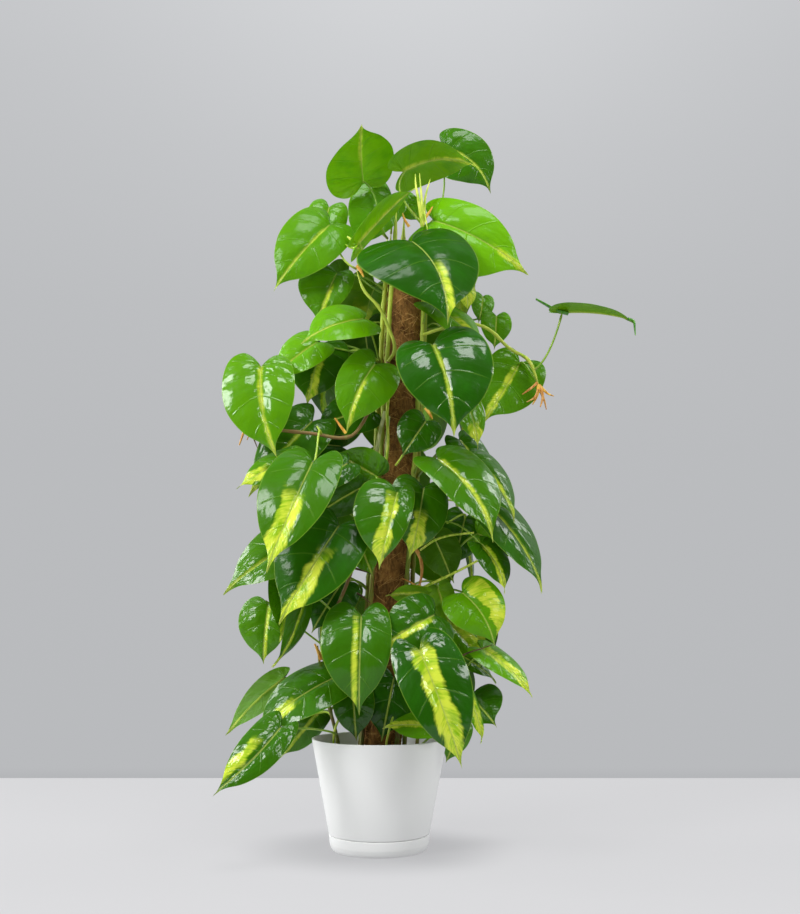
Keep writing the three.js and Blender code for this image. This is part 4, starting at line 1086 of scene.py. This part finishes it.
def build_pole():
    rng = np.random.default_rng(8)
    rows, columns, fibres = 150, 72, 2400
    angles = evenly(columns)
    rough = rng.uniform(-0.9, 0.2, (rows, columns))
    rough = (rough + np.roll(rough, 1, 1) + np.roll(rough, 1, 0)) / 3
    rings = []
    for z, row in zip(np.linspace(POLE_FOOT, POLE_TOP, rows), rough):
        radius = POLE_RADIUS - 0.9 + row + 0.35 * np.sin(z * 0.5 + angles * 2)
        rings.append(round_pole(angles, radius, np.full(columns, z)))
    ends = [[pole_centre(z), 0, z] for z in (POLE_FOOT, POLE_TOP)]
    shape = Shape()
    shape.add(*skin(rings, *ends), 0)
    t = np.linspace(0, 1, 6)
    for i in range(fibres):
        z = rng.uniform(POLE_FOOT + 30, POLE_TOP - 3)
        start, turn, climb = rng.uniform(0, 2 * math.pi), rng.uniform(-0.9, 0.9), rng.uniform(-14, 14)
        out = POLE_RADIUS - 0.6 + rng.uniform(0.0, 0.9)
        out = out + rng.uniform(0, 1.6) * np.sin(math.pi * t) * (i % 4 == 0)
        level = np.minimum(z + climb * t + rng.uniform(-2, 2) * t * t, POLE_TOP - 0.5)
        points, faces, _ = tube(round_pole(start + turn * t, out, level), rng.uniform(0.16, 0.38), 3)
        shape.add(points, faces, 1 + i % 2)
    finishes = [coarse_finish("coir_mat", (84, 56, 24), (170, 124, 64)),
                coarse_finish("coir_fibre", (160, 116, 58), (214, 170, 104)),
                coarse_finish("coir_dark", (96, 64, 28), (150, 108, 54))]
    shape.piece("coir_wrap", finishes, "coir_brown", "coir_sleeve")


# Small growth seen from the front: finish, radii at both ends, flatness, and the route as [x, z, depth]
GROWTH = [
    [0, 2.6, 0.5, 0.8, [[50, 716, -40], [46, 745, -44], [42, 768, -44], [41.5, 782, -43]]],
    [0, 2, 0.4, 0.8, [[51, 718, -41], [49, 750, -46], [46.5, 783, -45]]],
    [0, 1.8, 0.4, 0.7, [[52, 722, -40], [53, 750, -42], [59.5, 776, -40]]],
    [0, 1, 0.4, 1, [[52, 735, -44], [55, 718, -48], [57, 703, -50]]],
    [1, 2.2, 0.6, 0.5, [[52, 726, -40], [58, 734, -42], [62, 741, -42]]],
    [1, 2, 0.6, 0.5, [[34, 716, -38], [29, 724, -40], [26, 733, -40]]],
    [0, 2.6, 1, 0.7, [[-28, 694, -44], [-34, 699, -46], [-40, 704, -46]]],
    [0, 1.6, 0.6, 0.7, [[-26, 690, -44], [-36, 690, -46], [-42, 694, -46]]],
    [1, 2.4, 0.8, 0.6, [[-28, 668, -44], [-24, 662, -46], [-20, 654, -46]]],
    [2, 1.9, 0.7, 0.8, [[-152, 482, -52], [-158, 470, -53], [-164, 452, -54]]],
    [2, 1.2, 0.5, 0.8, [[-153, 480, -52], [-152, 468, -54], [-155, 458, -54]]],
    [3, 1.2, 0.4, 0.8, [[-148, 478, -51], [-149, 466, -52], [-143, 449, -53]]],
    [1, 1.8, 0.7, 0.7, [[-40, 466, -62], [-46, 474, -64], [-53, 484, -64]]],
    [2, 1.6, 0.5, 0.8, [[184, 526, -34], [176, 519, -36], [166, 512, -37]]],
    [1, 2.2, 0.6, 0.7, [[186, 524, -34], [183, 510, -36], [178, 500, -37]]],
    [2, 2, 0.6, 0.8, [[187, 522, -34], [190, 510, -35], [187, 497, -36]]],
    [1, 1.8, 0.5, 0.8, [[187, 522, -34], [196, 513, -34], [203, 510, -33]]],
    [2, 1.7, 0.5, 0.8, [[186, 520, -33], [192, 504, -31], [194, 494, -30]]],
    [2, 1.5, 0.5, 0.8, [[185, 518, -36], [180, 508, -39], [171, 503, -41]]],
    [0, 2, 0.8, 0.6, [[178, 548, -34], [172, 556, -37], [164, 561, -38]]],
    [4, 2.2, 1.2, 0.35, [[6, 492, -32], [0, 470, -35], [-4, 445, -34], [-6, 416, -32]]],
    [4, 1.8, 1, 0.35, [[10, 486, -32], [7, 455, -34], [5, 418, -32]]],
    [0, 1.9, 1.6, 1, [[12, 530, -33], [8, 492, -34], [9, 452, -34], [5, 420, -32]]],
    [0, 1.6, 1.3, 1, [[50, 478, -36], [40, 458, -40], [27, 441, -38], [18, 428, -33]]],
    [1, 2.2, 0.8, 0.5, [[53, 496, -34], [57, 490, -36], [61, 483, -36]]],
    [2, 2.4, 1.2, 0.5, [[35, 340, -34], [46, 322, -38], [48, 304, -38], [45, 289, -37]]],
    [1, 3.4, 3.4, 0.9, [[43, 291, -38], [45, 286, -38], [47, 281, -38]]],
    [2, 1.3, 0.6, 0.9, [[45, 287, -39], [34, 294, -41], [25, 298, -41]]],
    [0, 1.5, 1.2, 1, [[46, 286, -38], [70, 297, -44], [93, 308, -48], [125, 325, -46]]],
    [0, 1.4, 1.1, 1, [[46, 330, -36], [62, 341, -42], [80, 347, -46], [108, 350, -46]]],
    [3, 1.3, 0.5, 0.9, [[-28, 309, -46], [-17, 306, -48], [-8, 302, -48]]],
    [3, 1.3, 0.5, 0.9, [[-26, 281, -47], [-18, 276, -49], [-11, 270, -49]]],
    [3, 1.2, 0.5, 0.9, [[54, 186, -48], [98, 213, -52], [114, 218, -54], [128, 223, -54]]],
    [0, 1.5, 1.2, 1, [[-36, 162, -40], [-42, 148, -44], [-50, 130, -42], [-52, 112, -36]]],
    [0, 1.4, 1.2, 1, [[18, 152, -40], [13, 136, -43], [8, 116, -40], [7, 104, -36]]],
    [5, 1.7, 0.5, 1.5, [[292, 603, -44], [299, 600, -44], [300, 592, -44], [300.5, 583, -44]]],
    [5, 1.5, 0.8, 3.6, [[222, 609, -38], [208, 613, -38], [196, 620, -38], [184, 627, -37]]],
    [1, 2.4, 0.9, 0.5, [[-66, 206, -42], [-70, 216, -44], [-74, 224, -44]]],
]


def build_growth():
    """New leaves still rolled, sheaths and the roots that the stems make in the air."""
    shape = Shape()
    steps = 14
    for finish, thick, thin, flat, route in GROWTH:
        radii = thin + (thick - thin) * (1 - np.linspace(0, 1, steps + 1) ** 1.6)
        points, faces, _ = tube(smooth(seen_route(route), steps), radii, 8, flat)
        shape.add(points, faces, finish)
    finishes = [plain_finish("rolled_leaf", (150, 190, 30), (214, 224, 90), 0.4),
                plain_finish("sheath", (190, 130, 30), (232, 186, 70), 0.6),
                plain_finish("air_root", (178, 112, 34), (226, 172, 92), 0.6),
                plain_finish("dry_root", (64, 48, 28), (110, 86, 44), 0.7),
                plain_finish("papery_sheath", (150, 166, 84), (206, 210, 150), 0.6),
                plain_finish("folded_edge", (40, 112, 4), (92, 164, 16), 0.4)]
    shape.piece("new_growth", finishes, "foliage_green")


def finish_stake():
    stake = nodes["pole_stake"]
    stake.data.materials.clear()
    stake.data.materials.append(coarse_finish("stake_wood", (120, 88, 54), (182, 146, 100)))


build_foliage()
build_growth()
build_pot()
build_soil()
build_pole()
finish_stake()


# The room: a pale floor, a grey wall and soft light from windows on both sides
ROOM_REACH = 6
WALL_BACK = 0.545
AIM = Vector((0.02, 0, 0.4))


def plane(name, corners, finish):
    mesh = bpy.data.meshes.new(name)
    mesh.from_pydata(corners, [], [(0, 1, 2, 3)])
    mesh.materials.append(finish)
    placed(name, mesh)


def grey_ramp(finish, where, stops):
    """A colour that goes through the greys of stops, each given with its height."""
    ramp = finish.start.node("ShaderNodeValToRGB", inputs={0: where})
    elements = ramp.socket.node.color_ramp.elements
    while len(elements) < len(stops):
        elements.new(0.5)
    for element, (height, grey) in zip(elements, stops):
        element.position = height
        element.color = (*srgb(grey - 0.5, grey + 1, grey + 3.5), 1)
    return ramp


def wall_finish():
    """A wall that glows, with painted light that makes it brighter above and in the middle and painted
    shade in a thin darker band at its foot, and is clear from behind.
    """
    finish = Finish("wall")
    x, _, z = finish.place().parts()
    # painted light and shade: the greys rise from a thin darker band at the wall's foot, painted shade
    # where wall meets floor, to brighter greys above
    heights = [0.0, 0.012, 0.2, 0.375, 0.557, 0.746, 0.86, 0.936]
    edges = [180, 185.5, 186, 186.5, 188, 191.5, 193.5, 196]
    middle = [180, 185.5, 187, 187.5, 191.5, 200, 207, 211]
    ramp_height, painted_light_centre, painted_light_width = 1.4, 0.06, 0.38
    ramps = [grey_ramp(finish, z / ramp_height, list(zip(heights, greys))) for greys in (edges, middle)]
    aside = (x - painted_light_centre) / painted_light_width
    # weight of the painted pool of light in the middle of the wall
    centre = (aside * aside * -0.5).math("EXPONENT")
    glow = finish.start.node("ShaderNodeEmission", inputs={0: centre.mix(*ramps)}).socket.node
    clear = finish.tree.nodes.new("ShaderNodeBsdfTransparent")
    finish.blend(glow, clear, finish.start.node("ShaderNodeNewGeometry", output=6))
    return finish.material


def floor_finish():
    """A pale floor lit evenly, with a painted shadow: a soft dark patch round the pot's foot."""
    finish = Finish("floor", Base_Color=srgb(216, 216, 218), Roughness=0.85, Specular_IOR_Level=0.1)
    x, y, _ = finish.place().parts()
    away = (x * x + y * y * 1.15).math("SQRT")
    painted_shadow_edge, painted_shadow_core, painted_shadow_strength, lit_share = 0.168, 0.06, 0.36, 0.15
    # painted shadow: a soft dark patch round the pot's foot, mixed towards a dark grey
    dark = away.step(painted_shadow_edge, painted_shadow_core) * painted_shadow_strength
    colour = dark.mix(srgb(210, 210, 212), srgb(120, 121, 124))
    glow = finish.start.node("ShaderNodeEmission", inputs={0: colour}).socket.node
    finish.blend(glow, finish.shader, lit_share)
    return finish.material


def add_light(name, where, size, power):
    data = bpy.data.lights.new(name, "AREA")
    data.shape = "SQUARE"
    data.size = size
    data.energy = power
    light = placed(name, data)
    light.location = where
    light.rotation_euler = (AIM - Vector(where)).to_track_quat("-Z", "Y").to_euler()


def make_room():
    left, right, back, top = -ROOM_REACH, ROOM_REACH, WALL_BACK, ROOM_REACH
    plane("floor", [(left, left, 0), (right, left, 0), (right, back, 0), (left, back, 0)], floor_finish())
    plane("wall", [(left, back, 0), (right, back, 0), (right, back, top), (left, back, top)], wall_finish())
    world = bpy.data.worlds.new("room")
    bpy.context.scene.world = world
    world.use_nodes = True
    background = world.node_tree.nodes["Background"]
    background.inputs[0].default_value = (*srgb(240, 241, 240), 1)
    background.inputs[1].default_value = 0.4
    world.cycles_visibility.glossy = False
    add_light("key", (-1.5, -1.4, 1.7), 0.8, 35)
    add_light("fill", (1.4, -1.6, 1.5), 0.6, 13)
    add_light("top", (0.1, -0.9, 2.3), 0.8, 22)
    add_light("side", (-2.2, -0.1, 0.7), 1.2, 23)
    add_light("rim_left", (-1.5, 0.42, 1.6), 0.7, 16)
    add_light("rim_right", (1.5, 0.42, 1.6), 0.7, 14)


make_room()
